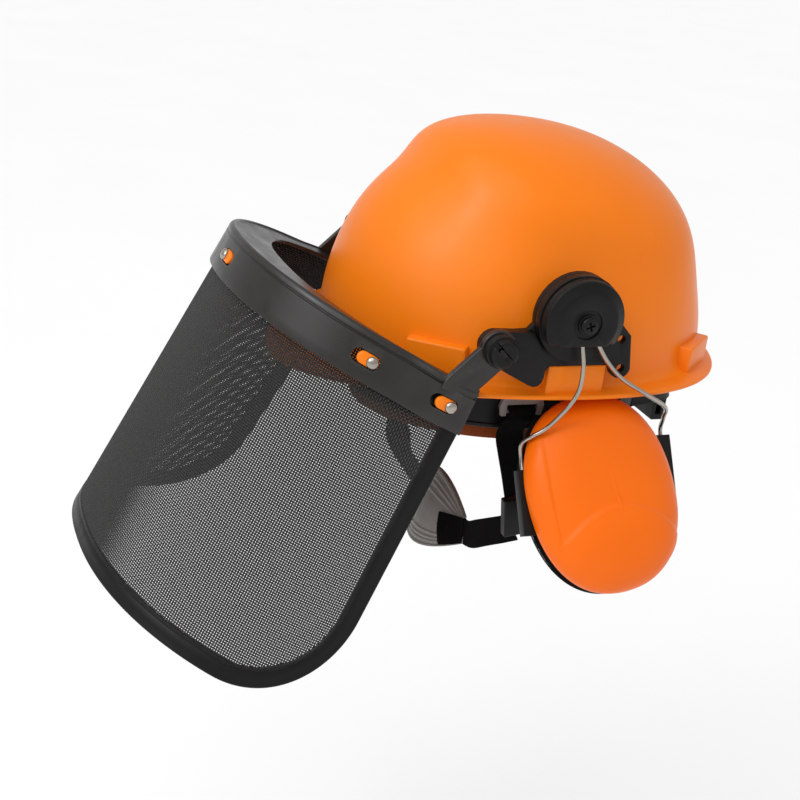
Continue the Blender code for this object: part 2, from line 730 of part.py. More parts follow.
def build_cup(name, side):
    place = arm_matrix() @ cup_frame()

    def add_cup_piece(label, mesh, material):
        mesh.transform(place)
        return add_object(f"{label}_{name}", mirrored(mesh, side), material)

    wide, tall = CUP_HALF_WIDTH, CUP_HALF_HEIGHT
    outside = [(0, 0), (7, 1.5), (10.5, 4.5), (14, 10.5), (17, 19), (19, 30), (19.6, 40)]
    rings = [cup_ring(out * MM, wide - inset * MM, tall - inset * MM) for out, inset in outside]
    wall = 2.2 * MM
    inside = [
        cup_ring(out * MM - (wall if out else 0), wide - inset * MM - wall, tall - inset * MM - wall)
        for out, inset in outside
    ]
    add_cup_piece("cup_shell", loft("cup_shell", list(reversed(inside)) + rings), CUP_ORANGE)

    def hollow_ring(outs, outer, inner):
        sections = []
        for i in range(36):
            angle = 2 * math.pi * i / 36
            section = []
            for out, inset in outs:
                shape = outer if inset >= 0 else inner
                y, z = superellipse(angle, shape[0] - max(inset, 0) * MM, shape[1] - max(inset, 0) * MM, CUP_SQUARENESS)
                section.append(Vector((out * MM, y, z)))
            sections.append(section)
        return sections

    hole = (24 * MM, 34 * MM)
    plate = hollow_ring(
        [(-6.3, -1), (-6.3, 0), (-0.3, 0), (-0.3, -1)], (39.6 * MM, 53 * MM), hole
    )
    add_cup_piece("cup_back_plate", loft("plate", plate, round_path=True), BLACK)
    cushion = hollow_ring(
        [(-14.5, -1), (-16.2, 8), (-15.4, 3), (-12, 0.5), (-6.7, 1.2), (-6.7, -1)], (wide - 1 * MM, tall - 1 * MM), hole
    )
    add_cup_piece("ear_cushion", loft("cushion", cushion, round_path=True), CUSHION)
    foam = [cup_ring(out * MM, wide - inset * MM, tall - inset * MM, 24) for out, inset in ((0.4, 6), (7, 7), (8.5, 9))]
    add_cup_piece("foam_insert", loft("foam", foam), FOAM)


def build_sliders(name, side):
    """Two channels on the back plate's edges that the wire's legs run in."""
    for label, sign in (("front", -1), ("rear", 1)):
        y = CUP_BACK + sign * SLIDER_SPREAD
        z = -SLIDER_DOWN + sign * SLIDER_STAGGER
        half = SLIDER_LENGTH / 2
        mesh = box_mesh(
            "slider",
            (SLIDER_OUT - 3 * MM, y - 4.2 * MM, z - half),
            (SLIDER_OUT + 2.9 * MM, y + 4.2 * MM, z + half),
        )
        mesh.transform(arm_matrix())
        slider = add_object(f"slider_{label}_{name}", mirrored(mesh, side), BLACK)
        near, far = sorted((sign * 39.95 * MM, sign * 43 * MM))
        foot = box_mesh(
            "foot",
            (SLIDER_OUT - 2.2 * MM, CUP_BACK + near, -CUP_DOWN - 7 * MM + sign * SLIDER_STAGGER),
            (SLIDER_OUT + 2.2 * MM, CUP_BACK + far, -CUP_DOWN + 7 * MM + sign * SLIDER_STAGGER),
        )
        foot.transform(arm_matrix())
        join(slider, mirrored(foot, side), "foot")
        bore = cylinder_mesh("bore", 2.1 * MM, z - half - 5 * MM, z + half + 5 * MM, "Z", (SLIDER_OUT, y), 12)
        bore.transform(arm_matrix())
        cut(slider, mirrored(bore, side), "wire_bore")


# ---------------------------------------------------------------- visor


def visor_empty():
    matrix = Matrix.Translation((0, PIVOT_Y, PIVOT_Z)) @ Matrix.Rotation(-VISOR_RAISE, 4, "X")
    return add_empty("visor_pivot", matrix)


def visor_point(angle, drop, half_width, depth, squareness=GUARD_SQUARENESS):
    """A point on the visor's curved face. angle runs from 0 at the left end to pi at the right end."""
    x, y = superellipse(angle, half_width, depth, squareness)
    flare = 1 + SCREEN_FLARE * drop / SCREEN_HEIGHT
    return Vector((x * flare, GUARD_END_Y - y, GUARD_TOP - drop))


def face_normal(angle, half_width, depth):
    """The visor face's outward direction, level with the ground when the visor is down."""
    step = 1e-3
    low, high = max(angle - step, 0), min(angle + step, math.pi)
    ahead = visor_point(high, 0, half_width, depth) - visor_point(low, 0, half_width, depth)
    return Vector((-ahead.y, ahead.x, 0)).normalized()


def end_share(y, start, full):
    """Runs smoothly from 0 ahead of start to 1 behind full, towards the guard's ends."""
    share = min(1, max(0, (y - start) / (full - start)))
    return share * share * (3 - 2 * share)


def guard_face(angle, drop):
    """The guard's outer face, which swells towards its two ends to take in the lugs."""
    point = visor_point(angle, drop, GUARD_HALF_WIDTH, GUARD_DEPTH)
    side = 1 if point.x > 0 else -1
    swell = END_SWELL - END_DRAFT * drop / GUARD_HEIGHT
    point.x += side * swell * end_share(point.y, -40 * MM, -13 * MM)
    point.y -= END_CUT * end_share(point.y, -20 * MM, GUARD_END_Y) * (1 - 0.4 * drop / GUARD_HEIGHT)
    return point


def build_guard(visor):
    """The brow guard: an upright wall round the face with a roof that reaches in to the shell."""
    rings = []
    steps = 96
    for i in range(steps + 1):
        angle = math.pi * i / steps
        wall = (GUARD_HALF_WIDTH, GUARD_DEPTH)
        inner = (wall[0] - GUARD_WALL, wall[1] - GUARD_WALL)
        roof = (ROOF_HALF_WIDTH, ROOF_DEPTH)
        thick = GUARD_WALL
        rings.append(
            [
                guard_face(angle, GUARD_HEIGHT),
                guard_face(angle, 0),
                visor_point(angle, 1.5 * MM, *roof),
                visor_point(angle, 1.5 * MM + thick, *roof),
                visor_point(angle, thick, *inner),
                visor_point(angle, GUARD_HEIGHT, *inner),
            ]
        )
    guard = add_object("brow_guard", loft("brow_guard", rings), GLOSS_BLACK, visor)
    for name, side in SIDES.items():
        lug_shape = arc((0, 0), 10.5 * MM, -20, 200, 14) + [(-18 * MM, -26 * MM), (-18 * MM, -32 * MM)]
        lug_shape += [(2.4 * MM, -32 * MM), (2.4 * MM, -24 * MM)]
        lug = outline_mesh("lug", lug_shape, LUG_INNER, LUG_OUTER)
        join(guard, mirrored(lug, side), f"lug_{name}")
        hole = cylinder_mesh("hole", 3.3 * MM, 100 * MM, 120 * MM, "X", (0, 0), 16)
        cut(guard, mirrored(hole, side), f"pivot_hole_{name}")
    for label, degrees in STUD_ANGLES.items():
        slot = stud_shape("slot", math.radians(degrees), 16.5 * MM, 8 * MM, -4 * MM, 4 * MM)
        cut(guard, slot, f"stud_slot_{label}")
        if label.endswith("rear"):
            hole = stud_shape("hole", math.radians(degrees), 5.02 * MM, 5 * MM, -14 * MM, 0, STUD_SHIFT)
            cut(guard, hole, f"stud_hole_{label}")
    return guard


def stud_frame(angle):
    """A point in a stud slot, half a wall under the guard's face, with the directions outwards and to its stud."""
    outward = face_normal(angle, GUARD_HALF_WIDTH, GUARD_DEPTH)
    point = guard_face(angle, STUD_DROP) - outward * (GUARD_WALL / 2)
    along = Vector((-outward.y, outward.x, 0))
    return point, outward, along if point.x > 1 * MM else -along


def stud_shape(name, angle, length, height, start, end, shift=0.0, sides=8):
    """A rounded bar across the guard's wall, from start to end along the outward direction."""
    point, outward, along = stud_frame(angle)
    half = (length - height) / 2
    outline = arc((half, 0), height / 2, -90, 90, sides) + arc((-half, 0), height / 2, 90, 270, sides)
    rings = []
    for reach in (start, end):
        rings.append([point + outward * reach + along * (u + shift) + Vector((0, 0, v)) for u, v in outline])
    return loft(name, rings)


def build_studs(visor):
    """In each slot of the guard an orange keeper and a domed steel stud hold the screen."""
    for label, degrees in STUD_ANGLES.items():
        angle = math.radians(degrees)
        keeper = stud_shape("keeper", angle, 12.8 * MM, 7.2 * MM, -1.1 * MM, 1.7 * MM, KEEPER_SHIFT)
        item = add_object(f"keeper_{label}", keeper, ORANGE, visor)
        hole = stud_shape("hole", angle, 5.02 * MM, 5.0 * MM, -3 * MM, 4 * MM, STUD_SHIFT)
        cut(item, hole, "stud_hole")
        point, outward, along = stud_frame(angle)
        centre = point + along * STUD_SHIFT
        tail = -8.6 if label.endswith("rear") else -2.3
        rings = []
        for reach, radius in ((tail, 2.1), (2.0, 2.1), (2.0, 3.4), (2.9, 3.1), (3.6, 2.2), (3.9, 0.8)):
            ring = []
            for i in range(14):
                turn = 2 * math.pi * i / 14
                ring.append(
                    centre
                    + outward * (reach * MM)
                    + along * (radius * MM * math.cos(turn))
                    + Vector((0, 0, radius * MM * math.sin(turn)))
                )
            rings.append(ring)
        add_object(f"stud_{label}", loft("stud", rings), STEEL, visor)


def screen_station(length, arcs):
    """The visor angle at a distance along the guard's curve."""
    low, high = 0, len(arcs) - 1
    while high - low > 1:
        middle = (low + high) // 2
        if arcs[middle] > length:
            high = middle
        else:
            low = middle
    share = (length - arcs[low]) / (arcs[high] - arcs[low])
    return math.pi * (low + share) / (len(arcs) - 1)


def arc_table(half_width, depth, steps=400):
    lengths = [0.0]
    previous = visor_point(0, 0, half_width, depth)
    for i in range(1, steps + 1):
        point = visor_point(math.pi * i / steps, 0, half_width, depth)
        lengths.append(lengths[-1] + (point - previous).length)
        previous = point
    return lengths


SCREEN_HALF_WIDTH = GUARD_HALF_WIDTH - GUARD_WALL - 1.8 * MM
SCREEN_DEPTH = GUARD_DEPTH - GUARD_WALL - 1.8 * MM


def screen_bottom(distance, total, height, corner):
    """How far the screen reaches down at a distance along it, with round lower corners."""
    from_edge = min(distance, total - distance)
    if from_edge >= corner:
        return height
    return height - corner + math.sqrt(max(corner**2 - (corner - from_edge) ** 2, 0))


def build_screen(visor):
    arcs = arc_table(SCREEN_HALF_WIDTH, SCREEN_DEPTH)
    total = arcs[-1]
    inset = TRIM_WIDTH + GAP
    columns, rows = 40, 8
    rings = []
    for i in range(columns + 1):
        share = i / columns
        share = 0.5 - 0.5 * math.cos(math.pi * share) if share in (0, 1) else share
        distance = inset + (total - 2 * inset) * share
        angle = screen_station(distance, arcs)
        low = screen_bottom(distance - inset, total - 2 * inset, SCREEN_HEIGHT - inset, SCREEN_CORNER - inset)
        normal = face_normal(angle, SCREEN_HALF_WIDTH, SCREEN_DEPTH) * (0.4 * MM)
        front, back = [], []
        for j in range(rows + 1):
            drop = SCREEN_TOP + (low - SCREEN_TOP) * j / rows
            point = visor_point(angle, drop, SCREEN_HALF_WIDTH, SCREEN_DEPTH)
            front.append(point + normal)
            back.append(point - normal)
        rings.append(front + list(reversed(back)))
    add_object("mesh_screen", loft("mesh_screen", rings), MESH_BLACK, visor)


def build_trim(visor):
    """The binding round the screen's two sides and its lower edge."""
    arcs = arc_table(SCREEN_HALF_WIDTH, SCREEN_DEPTH)
    total = arcs[-1]
    height, corner = SCREEN_HEIGHT, SCREEN_CORNER
    outline = []

    def side_points(flip):
        points = []
        for i in range(7):
            points.append((0, SCREEN_TOP + (height - corner - SCREEN_TOP) * i / 7, 1, 0))
        for i in range(12):
            turn = math.pi / 2 * i / 12
            along, down = 1 - math.cos(turn), math.sin(turn)
            points.append((corner * along, height - corner + corner * down, math.cos(turn), math.sin(turn)))
        return [(total - d if flip else d, v, -n if flip else n, m) for d, v, n, m in points]

    outline += side_points(False)
    middle = 22
    outline += [(corner + (total - 2 * corner) * i / middle, height, 0, 1) for i in range(middle + 1)]
    outline += list(reversed(side_points(True)))
    rings = []
    for distance, drop, inward, upward in outline:
        ring = []
        for reach, lift in ((0, -1.1), (0, 1.1), (TRIM_WIDTH, 1.1), (TRIM_WIDTH, -1.1)):
            here = distance + inward * reach
            angle = screen_station(min(max(here, 0), total), arcs)
            normal = face_normal(angle, SCREEN_HALF_WIDTH, SCREEN_DEPTH)
            point = visor_point(angle, drop - upward * reach, SCREEN_HALF_WIDTH, SCREEN_DEPTH)
            ring.append(point + normal * (lift * MM))
        rings.append(ring)
    add_object("screen_trim", loft("screen_trim", rings), BLACK, visor)


def build_pivots():
    for name, side in SIDES.items():
        centre = (PIVOT_Y, PIVOT_Z)
        head = cylinder_mesh("head", 5.5 * MM, 99.4 * MM, 102.7 * MM, "X", centre, 6)
        bolt = add_object(f"pivot_bolt_{name}", mirrored(head, side), STEEL)
        shank = cylinder_mesh("shank", 2.9 * MM, 101 * MM, 121 * MM, "X", centre, 16)
        join(bolt, mirrored(shank, side), "shank")
        disc = cylinder_mesh("disc", 9.2 * MM, 115.1 * MM, 119.5 * MM, "X", centre, 28)
        knob = add_object(f"pivot_knob_{name}", mirrored(disc, side), BLACK)
        grip = box_mesh(
            "grip",
            (118 * MM, PIVOT_Y - 8.2 * MM, PIVOT_Z - 2.6 * MM),
            (123.6 * MM, PIVOT_Y + 8.2 * MM, PIVOT_Z + 2.6 * MM),
        )
        grip.transform(
            Matrix.Translation((0, *centre)) @ Matrix.Rotation(math.radians(35), 4, "X") @ Matrix.Translation((0, -centre[0], -centre[1]))
        )
        join(knob, mirrored(grip, side), "grip")
        hole = cylinder_mesh("hole", 3.3 * MM, 110 * MM, 121.6 * MM, "X", centre, 16)
        cut(knob, mirrored(hole, side), "bolt_hole")


# ---------------------------------------------------------------- chin strap


CHIN_CUP_CENTRE = Vector((0, -27 * MM, -121.5 * MM))
CHIN_CUP_HALF_LENGTH = 36 * MM
CHIN_CUP_BOW = 9.5 * MM


def build_clips():
    for name, side in SIDES.items():
        y, x = CLIP_Y, CLIP_X
        outline = [
            (y - 12.4 * MM, -20 * MM),
            (y - 9.4 * MM, -20 * MM),
            (y - 9.4 * MM, -13.4 * MM),
            (y + 9.4 * MM, -13.4 * MM),
            (y + 9.4 * MM, -20 * MM),
            (y + 12.4 * MM, -20 * MM),
            (y + 13.6 * MM, -14 * MM),
            (y + 10.5 * MM, -5 * MM),
            (y + 7 * MM, 9.5 * MM),
            (y - 7 * MM, 9.5 * MM),
            (y - 10.5 * MM, -5 * MM),
            (y - 13.6 * MM, -14 * MM),
        ]
        plate = add_object(
            f"chin_clip_{name}",
            mirrored(outline_mesh("clip", outline, x - 1.2 * MM, x + 1.2 * MM), side),
            CLIP_GREY,
        )
        hole = cylinder_mesh("hole", 2.5 * MM, x - 5 * MM, x + 5 * MM, "X", (CLIP_Y, 5 * MM), 12)
        cut(plate, mirrored(hole, side), "stud_hole")
        bar = cylinder_mesh("bar", 1.2 * MM, y - 10 * MM, y + 10 * MM, "Y", (x, -17.4 * MM), 10)
        join(plate, mirrored(bar, side), "webbing_bar")


def webbing(name, route, across_keys, steps=3, width=WEBBING_WIDTH):
    """A band along a route. across_keys holds its sideways direction at even shares of the length."""
    path = smooth_path([Vector(point) * MM for point in route], steps)
    count = len(path)
    sides, normals = [], []
    for i, point in enumerate(path):
        ahead = (path[min(i + 1, count - 1)] - path[max(i - 1, 0)]).normalized()
        share = i / (count - 1) * (len(across_keys) - 1)
        key = min(int(share), len(across_keys) - 2)
        across = Vector(across_keys[key]).lerp(Vector(across_keys[key + 1]), share - key)
        across = (across - ahead * across.dot(ahead)).normalized()
        sides.append(across)
        normals.append(ahead.cross(across).normalized())
    rings = ribbon_rings(path, sides, width, WEBBING_THICKNESS, normals)
    return add_object(name, loft(name, rings), WEBBING)


def build_chin_strap():
    webbing(
        "chin_webbing_left",
        [
            (88.6, -28, -20),
            (88.2, -28.4, -23),
            (86, -29.8, -28),
            (83.9, -30, -34.5),
            (84, -27.4, -44),
            (84.4, -23.4, -57),
            (84.2, -18.8, -72.4),
        ],
        ((0, 1, 0), (0, 1, 0.2)),
    )
    webbing(
        "chin_webbing_lower",
        [(82.4, -18.4, -95.6), (73, -22, -102), (60, -25.6, -110.4), (48, -26.8, -118), (39, -27, -120.6)],
        ((0.1, 0.3, -1), (0, 0, -1)),
    )
    webbing(
        "chin_webbing_right",
        [
            (-88.6, -28, -20),
            (-87.8, -28.4, -23),
            (-83.5, -29.8, -29),
            (-80.8, -31, -37),
            (-84.4, -31, -60),
            (-82.4, -31, -83),
            (-77, -31, -100),
            (-68, -31, -109),
            (-56, -29.6, -116),
            (-46, -28, -119.6),
            (-38, -27, -121.5),
        ],
        ((0, 1, 0), (-0.5, 0.75, 0), (-0.45, 0.8, 0), (-0.3, 0.7, 0.3), (0, 0, 1), (0, 0, 1)),
    )
    build_adjuster()
    build_chin_cup()


def build_adjuster():
    """The buckle plate that hangs on the left webbing, leaning with it."""
    centre = Vector((84.5, -16, -86)) * MM
    lean = Matrix.Translation(centre) @ Matrix.Rotation(math.radians(8), 4, "X")
    body = box_mesh("strap_adjuster", (-3.1 * MM, -10.5 * MM, -12 * MM), (3.1 * MM, 10.5 * MM, 12 * MM))
    body.transform(lean)
    buckle = add_object("strap_adjuster", body, BLACK)
    slot = box_mesh("slot", (-14 * MM, -8.6 * MM, -16 * MM), (1.4 * MM, 5.4 * MM, 0.6 * MM))
    slot.transform(lean)
    cut(buckle, slot, "lower_slot")


def build_chin_cup():
    """A dished plate across the chin whose upper edge leans back."""
    rings = []
    steps = 16
    centre = CHIN_CUP_CENTRE
    for i in range(steps + 1):
        share = 2 * i / steps - 1
        bow = 1 - share**2
        half_height = (9.6 + 13.4 * bow) * MM
        middle = centre + Vector((CHIN_CUP_HALF_LENGTH * share, -CHIN_CUP_BOW * bow, 0))
        outer, inner = [], []
        for j in range(7):
            turn = -1 + 2 * j / 6
            bulge = 4 * MM * bow * (1 - turn * turn)
            point = middle + Vector((0, 8 * MM * bow * turn - bulge, half_height * turn))
            outer.append(point)
            inner.append(point + Vector((0, 2 * MM, 0)))
        rings.append(outer + list(reversed(inner)))
    add_object("chin_cup", loft("chin_cup", rings), CLIP_GREY)


# ---------------------------------------------------------------- assembly


def build_hard_hat():
    build_shell()
    build_headband()
    build_sweatband()
    build_hanger_keys()
    build_crown_straps()
    build_nape_straps()
    build_ratchet()
    for name, side in SIDES.items():
        build_adapter(name, side)
        build_hub(name, side)
        build_wire(name, side)
        build_cup(name, side)
        build_sliders(name, side)
    visor = visor_empty()
    build_guard(visor)
    build_studs(visor)
    build_screen(visor)
    build_trim(visor)
    build_pivots()
    build_clips()
    build_chin_strap()


build_hard_hat()
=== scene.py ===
"""Looks for the forestry hard hat: fine surfaces, woven mesh, soft parts, materials, light and camera.

Metres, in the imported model's frame: the wearer faces -Y and the wearer's left is +X.
"""

import json
import math
import random

import bmesh
import bpy
import numpy as np
from mathutils import Matrix, Vector


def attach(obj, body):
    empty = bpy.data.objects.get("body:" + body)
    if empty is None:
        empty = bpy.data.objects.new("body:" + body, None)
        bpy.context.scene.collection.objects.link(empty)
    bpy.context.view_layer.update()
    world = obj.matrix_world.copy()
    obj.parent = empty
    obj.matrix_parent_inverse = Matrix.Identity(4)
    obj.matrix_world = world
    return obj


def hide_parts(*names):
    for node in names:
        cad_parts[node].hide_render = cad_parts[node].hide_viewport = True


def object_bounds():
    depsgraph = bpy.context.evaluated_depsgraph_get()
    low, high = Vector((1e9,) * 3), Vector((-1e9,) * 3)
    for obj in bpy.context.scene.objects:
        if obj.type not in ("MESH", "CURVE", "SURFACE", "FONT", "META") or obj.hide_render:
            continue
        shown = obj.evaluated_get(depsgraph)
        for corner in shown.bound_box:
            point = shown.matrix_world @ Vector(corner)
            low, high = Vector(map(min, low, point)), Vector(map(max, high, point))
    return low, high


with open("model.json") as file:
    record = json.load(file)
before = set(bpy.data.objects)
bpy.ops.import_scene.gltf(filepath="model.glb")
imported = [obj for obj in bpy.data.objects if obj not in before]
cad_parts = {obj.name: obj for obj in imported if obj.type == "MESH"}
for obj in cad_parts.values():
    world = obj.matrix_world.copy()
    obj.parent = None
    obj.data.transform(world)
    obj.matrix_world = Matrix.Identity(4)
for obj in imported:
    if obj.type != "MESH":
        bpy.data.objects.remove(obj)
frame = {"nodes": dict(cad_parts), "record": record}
cad_bounds = [list(corner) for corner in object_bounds()]

MM = 0.001
TURN = 2 * math.pi
SIDES = {"left": 1, "right": -1}
BODY_OF = {
    node: body
    for body, nodes in frame["record"]["behaviour"]["bodies"].items()
    for node in nodes
}
SLOT_OF = {row["node"]: row["material_slot"] for row in frame["record"]["subparts"]}

# Shell
SHELL_WALL = 2.6 * MM
DOME_HEIGHT = 113.7 * MM
DOME_HALF_WIDTH = 100 * MM
DOME_FRONT = 114.8 * MM
DOME_REAR = 124.1 * MM
DOME_CENTRE_Y = -2.4 * MM
APEX_Y = -13.4 * MM
CROWN_RISE = 13.6 * MM
CROWN_HALF_WIDTH = 73.6 * MM
CROWN_HALF_LENGTH = 77.5 * MM
CROWN_CENTRE_Y = 17.2 * MM
CROWN_EDGE = 0.225
BRIM_HALF_WIDTH = 112 * MM
BRIM_CENTRE_Y = 2 * MM
BRIM_FRONT = 153 * MM
BRIM_REAR = 125 * MM
PEAK_DROP = 12 * MM
NAPE_DROP = 3 * MM
POCKET_ANGLES = {"front_left": -41, "front_right": 221, "rear_left": 47, "rear_right": 133}

# Suspension
BAND_HALF_WIDTH = 74 * MM
BAND_HALF_LENGTH = 97 * MM
BAND_TOP = -4 * MM
BAND_BOTTOM = -36 * MM
BAND_THICKNESS = 1.8 * MM
NAPE_Y = 98 * MM
NAPE_Z = -35 * MM

# Muff hub, arm and cup
HUB_Y = -13.5 * MM
HUB_Z = 45 * MM
ARM = Matrix.Translation(Vector((117, -8.4, 36.5)) * MM) @ Matrix.Rotation(math.radians(-32), 4, "Y")
CUP_PLACE = Matrix.Translation(Vector((-46.7, 22.1, -80.4)) * MM)
CUP = ARM @ CUP_PLACE @ Matrix.Rotation(math.radians(10.7), 4, "X")
CUP_HALF_WIDTH = 46.5 * MM
CUP_HALF_HEIGHT = 56.5 * MM
CUP_DEPTH = 19.7 * MM
EAR_HOLE = (24, 34)
CUSHION_EDGE = (45.5, 55.5)
CUP_SQUARENESS = 2.23
WIRE_RADIUS = 1.25 * MM

# Visor
PIVOT_Y = -60 * MM
PIVOT_Z = 29.5 * MM
VISOR_RAISE = math.radians(25.7)
GUARD_HALF_WIDTH = 107 * MM
GUARD_DEPTH = 122.7 * MM
GUARD_SQUARENESS = 2.235
GUARD_END_Y = 9.9 * MM
GUARD_TOP = -24.8 * MM
GUARD_HEIGHT = 26 * MM
GUARD_WALL = 2.4 * MM
ROOF_HALF_WIDTH = 98 * MM
ROOF_DEPTH = 93 * MM
SCREEN_HALF_WIDTH = GUARD_HALF_WIDTH - GUARD_WALL - 1.8 * MM
SCREEN_DEPTH = GUARD_DEPTH - GUARD_WALL - 1.8 * MM
SCREEN_HEIGHT = 202.3 * MM
SCREEN_FLARE = 0.246
SCREEN_CORNER = 60 * MM
SCREEN_TOP = 4 * MM
TRIM_WIDTH = 11.5 * MM
MESH_PITCH = 1.4 * MM
MESH_WIRE = 0.46 * MM
STUD_DEGREES = {"front": 90, "left_fore": 29.7, "left_rear": 7.7, "right_fore": 150.3, "right_rear": 172.3}
STUD_ANGLES = {label: math.radians(degrees) for label, degrees in STUD_DEGREES.items()}
END_SWELL = 8.2 * MM
END_DRAFT = 2.6 * MM
END_CUT = 6.8 * MM
STUD_DROP = 14 * MM
STUD_SHIFT = 4.2 * MM
KEEPER_SHIFT = 1.4 * MM

# Stage
FLOOR_REACH = 14.0
FLOOR_DROP = 0.42

# Chin strap
CLIP_Y = -28 * MM
CHIN_CUP_CENTRE = Vector((0, -27, -121.5)) * MM
CHIN_CUP_HALF_LENGTH = 36 * MM
CHIN_CUP_BOW = 9.5 * MM
WEBBING_WIDTH = 17 * MM
WEBBING_THICKNESS = 1.5 * MM


# Mesh helpers


def surface(rows, ring=True, path=False, caps=True):
    """Points and faces of a skin over a grid of points, with rows joined round and along as asked."""
    rows = np.asarray(rows, float)
    count, width = rows.shape[:2]
    points = rows.reshape(-1, 3)
    i = np.arange(count if path else count - 1)[:, None]
    j = np.arange(width if ring else width - 1)[None, :]
    below, above = i * width, ((i + 1) % count) * width
    ahead = (j + 1) % width
    quads = np.stack([below + j, below + ahead, above + ahead, above + j], -1).reshape(-1, 4)
    faces = [quads.tolist()]
    if caps and not path:
        ends = np.array([rows[0].mean(0), rows[-1].mean(0)])
        first = len(points)
        points = np.vstack([points, ends])
        k = np.arange(width)
        after = (k + 1) % width
        faces.append(np.stack([after, k, np.full(width, first)], -1).tolist())
        last = (count - 1) * width
        faces.append(np.stack([last + k, last + after, np.full(width, first + 1)], -1).tolist())
    return points, [face for group in faces for face in group]


def volume(points, faces):
    triangles = np.array([(f[0], f[i], f[i + 1]) for f in faces for i in range(1, len(f) - 1)])
    a, b, c = (points[triangles[:, i]] for i in range(3))
    return float(np.einsum("ij,ij->i", a, np.cross(b, c)).sum())


def add_object(name, data):
    piece = bpy.data.objects.new(name, data)
    bpy.context.scene.collection.objects.link(piece)
    return piece


def shade(mesh, sharp):
    """Smooth shading, apart from edges sharper than an angle in degrees."""
    mesh.shade_smooth()
    mesh.set_sharp_from_angle(angle=math.radians(sharp))


def new_piece(name, points, faces, sharp=35, attributes=None):
    points = np.asarray(points, float)
    if volume(points, faces) < 0:
        faces = [face[::-1] for face in faces]
    mesh = bpy.data.meshes.new(name)
    mesh.from_pydata(points.tolist(), [], faces)
    for key, values in (attributes or {}).items():
        layer = mesh.attributes.new(key, "FLOAT", "POINT")
        layer.data.foreach_set("value", np.asarray(values, np.float32).ravel())
    shade(mesh, sharp)
    return add_object(name, mesh)


def skin(name, rows, sharp=35, attributes=None, **joins):
    """A piece over a grid of points, with each attribute given per grid point."""
    points, faces = surface(rows, **joins)
    padded = {
        key: np.append(np.ravel(value), np.zeros(len(points) - np.size(value)))
        for key, value in (attributes or {}).items()
    }
    return new_piece(name, points, faces, sharp, padded)


def moved(points, matrix):
    return np.asarray(points, float) @ np.array(matrix.to_3x3()).T + np.array(matrix.translation)


def reflected(points, side):
    return np.asarray(points, float) * (side, 1, 1)


def apply_modifiers(piece, sharp=35):
    graph = bpy.context.evaluated_depsgraph_get()
    mesh = bpy.data.meshes.new_from_object(piece.evaluated_get(graph))
    piece.modifiers.clear()
    piece.data = mesh
    shade(mesh, sharp)
    return piece


def bevel(piece, width, segments=3):
    modifier = piece.modifiers.new("round_edges", "BEVEL")
    modifier.width = width
    modifier.segments = segments
    modifier.limit_method = "ANGLE"
    modifier.angle_limit = math.radians(35)
    return apply_modifiers(piece)


def combined(name, pieces):
    """One object from several, which are removed."""
    points, faces = [], []
    for piece in pieces:
        start = len(points)
        points += [tuple(vertex.co) for vertex in piece.data.vertices]
        faces += [[start + v for v in polygon.vertices] for polygon in piece.data.polygons]
        bpy.data.objects.remove(piece)
    mesh = bpy.data.meshes.new(name)
    mesh.from_pydata(points, [], faces)
    return add_object(name, mesh)


def boolean(piece, operation, others, sharp=35):
    tool = combined("tool", others)
    modifier = piece.modifiers.new("boolean", "BOOLEAN")
    modifier.operation = operation
    modifier.object = tool
    modifier.solver = "EXACT"
    apply_modifiers(piece, sharp)
    bpy.data.objects.remove(tool)
    return piece


def box(low, high):
    """A box between two corners in millimetres."""
    corners = [(x, y, z) for z in (low[2], high[2]) for y in (low[1], high[1]) for x in (low[0], high[0])]
    faces = [[0, 2, 3, 1], [4, 5, 7, 6], [0, 1, 5, 4], [2, 6, 7, 3], [0, 4, 6, 2], [1, 3, 7, 5]]
    return new_piece("box", np.array(corners) * MM, faces)


def axes(x, y, z=Vector((0, 0, 1))):
    """The rotation onto three directions."""
    return Matrix((x, y, z)).transposed().to_4x4()


def placed(piece, place, turn):
    piece.data.transform(Matrix.Translation(place) @ turn)
    return piece


def circle(centre, across, up, radius, sides):
    turns = [TURN * k / sides for k in range(sides)]
    return [centre + (across * math.cos(t) + up * math.sin(t)) * radius for t in turns]


def side_box(side, low, high):
    """A box given for the left side, or its mirror image."""
    near, far = sorted((side * low[0], side * high[0]))
    return box((near, *low[1:]), (far, *high[1:]))


def turned(name, profile, origin, axis, sides=48):
    """A turned piece: the profile holds (distance along the axis, radius) pairs in millimetres."""
    axis = Vector(axis).normalized()
    across = axis.orthogonal().normalized()
    up = axis.cross(across)
    rows = [circle(Vector(origin) + axis * (x * MM), across, up, r * MM, sides) for x, r in profile]
    return skin(name, rows)


def refined(node, width, segments=3):
    """A copy of a CAD node with its flat faces merged again and its edges rounded, in the node's place."""
    piece = add_object(f"{node}_fine", frame["nodes"][node].data.copy())
    mesh = bmesh.new()
    mesh.from_mesh(piece.data)
    bmesh.ops.remove_doubles(mesh, verts=mesh.verts, dist=2e-6)
    bmesh.ops.dissolve_limit(mesh, angle_limit=math.radians(1), verts=mesh.verts, edges=mesh.edges)
    mesh.to_mesh(piece.data)
    mesh.free()
    return stand_for(bevel(piece, width, segments), node)


def tube(name, points, radius, sides=10):
    """A round bar along a path, with an unturning section."""
    rows = []
    across = None
    for i, point in enumerate(points):
        ahead = (points[min(i + 1, len(points) - 1)] - points[max(i - 1, 0)]).normalized()
        across = across - ahead * across.dot(ahead) if across else ahead.orthogonal()
        across.normalize()
        rows.append(circle(point, across, ahead.cross(across), radius, sides))
    return skin(name, rows)


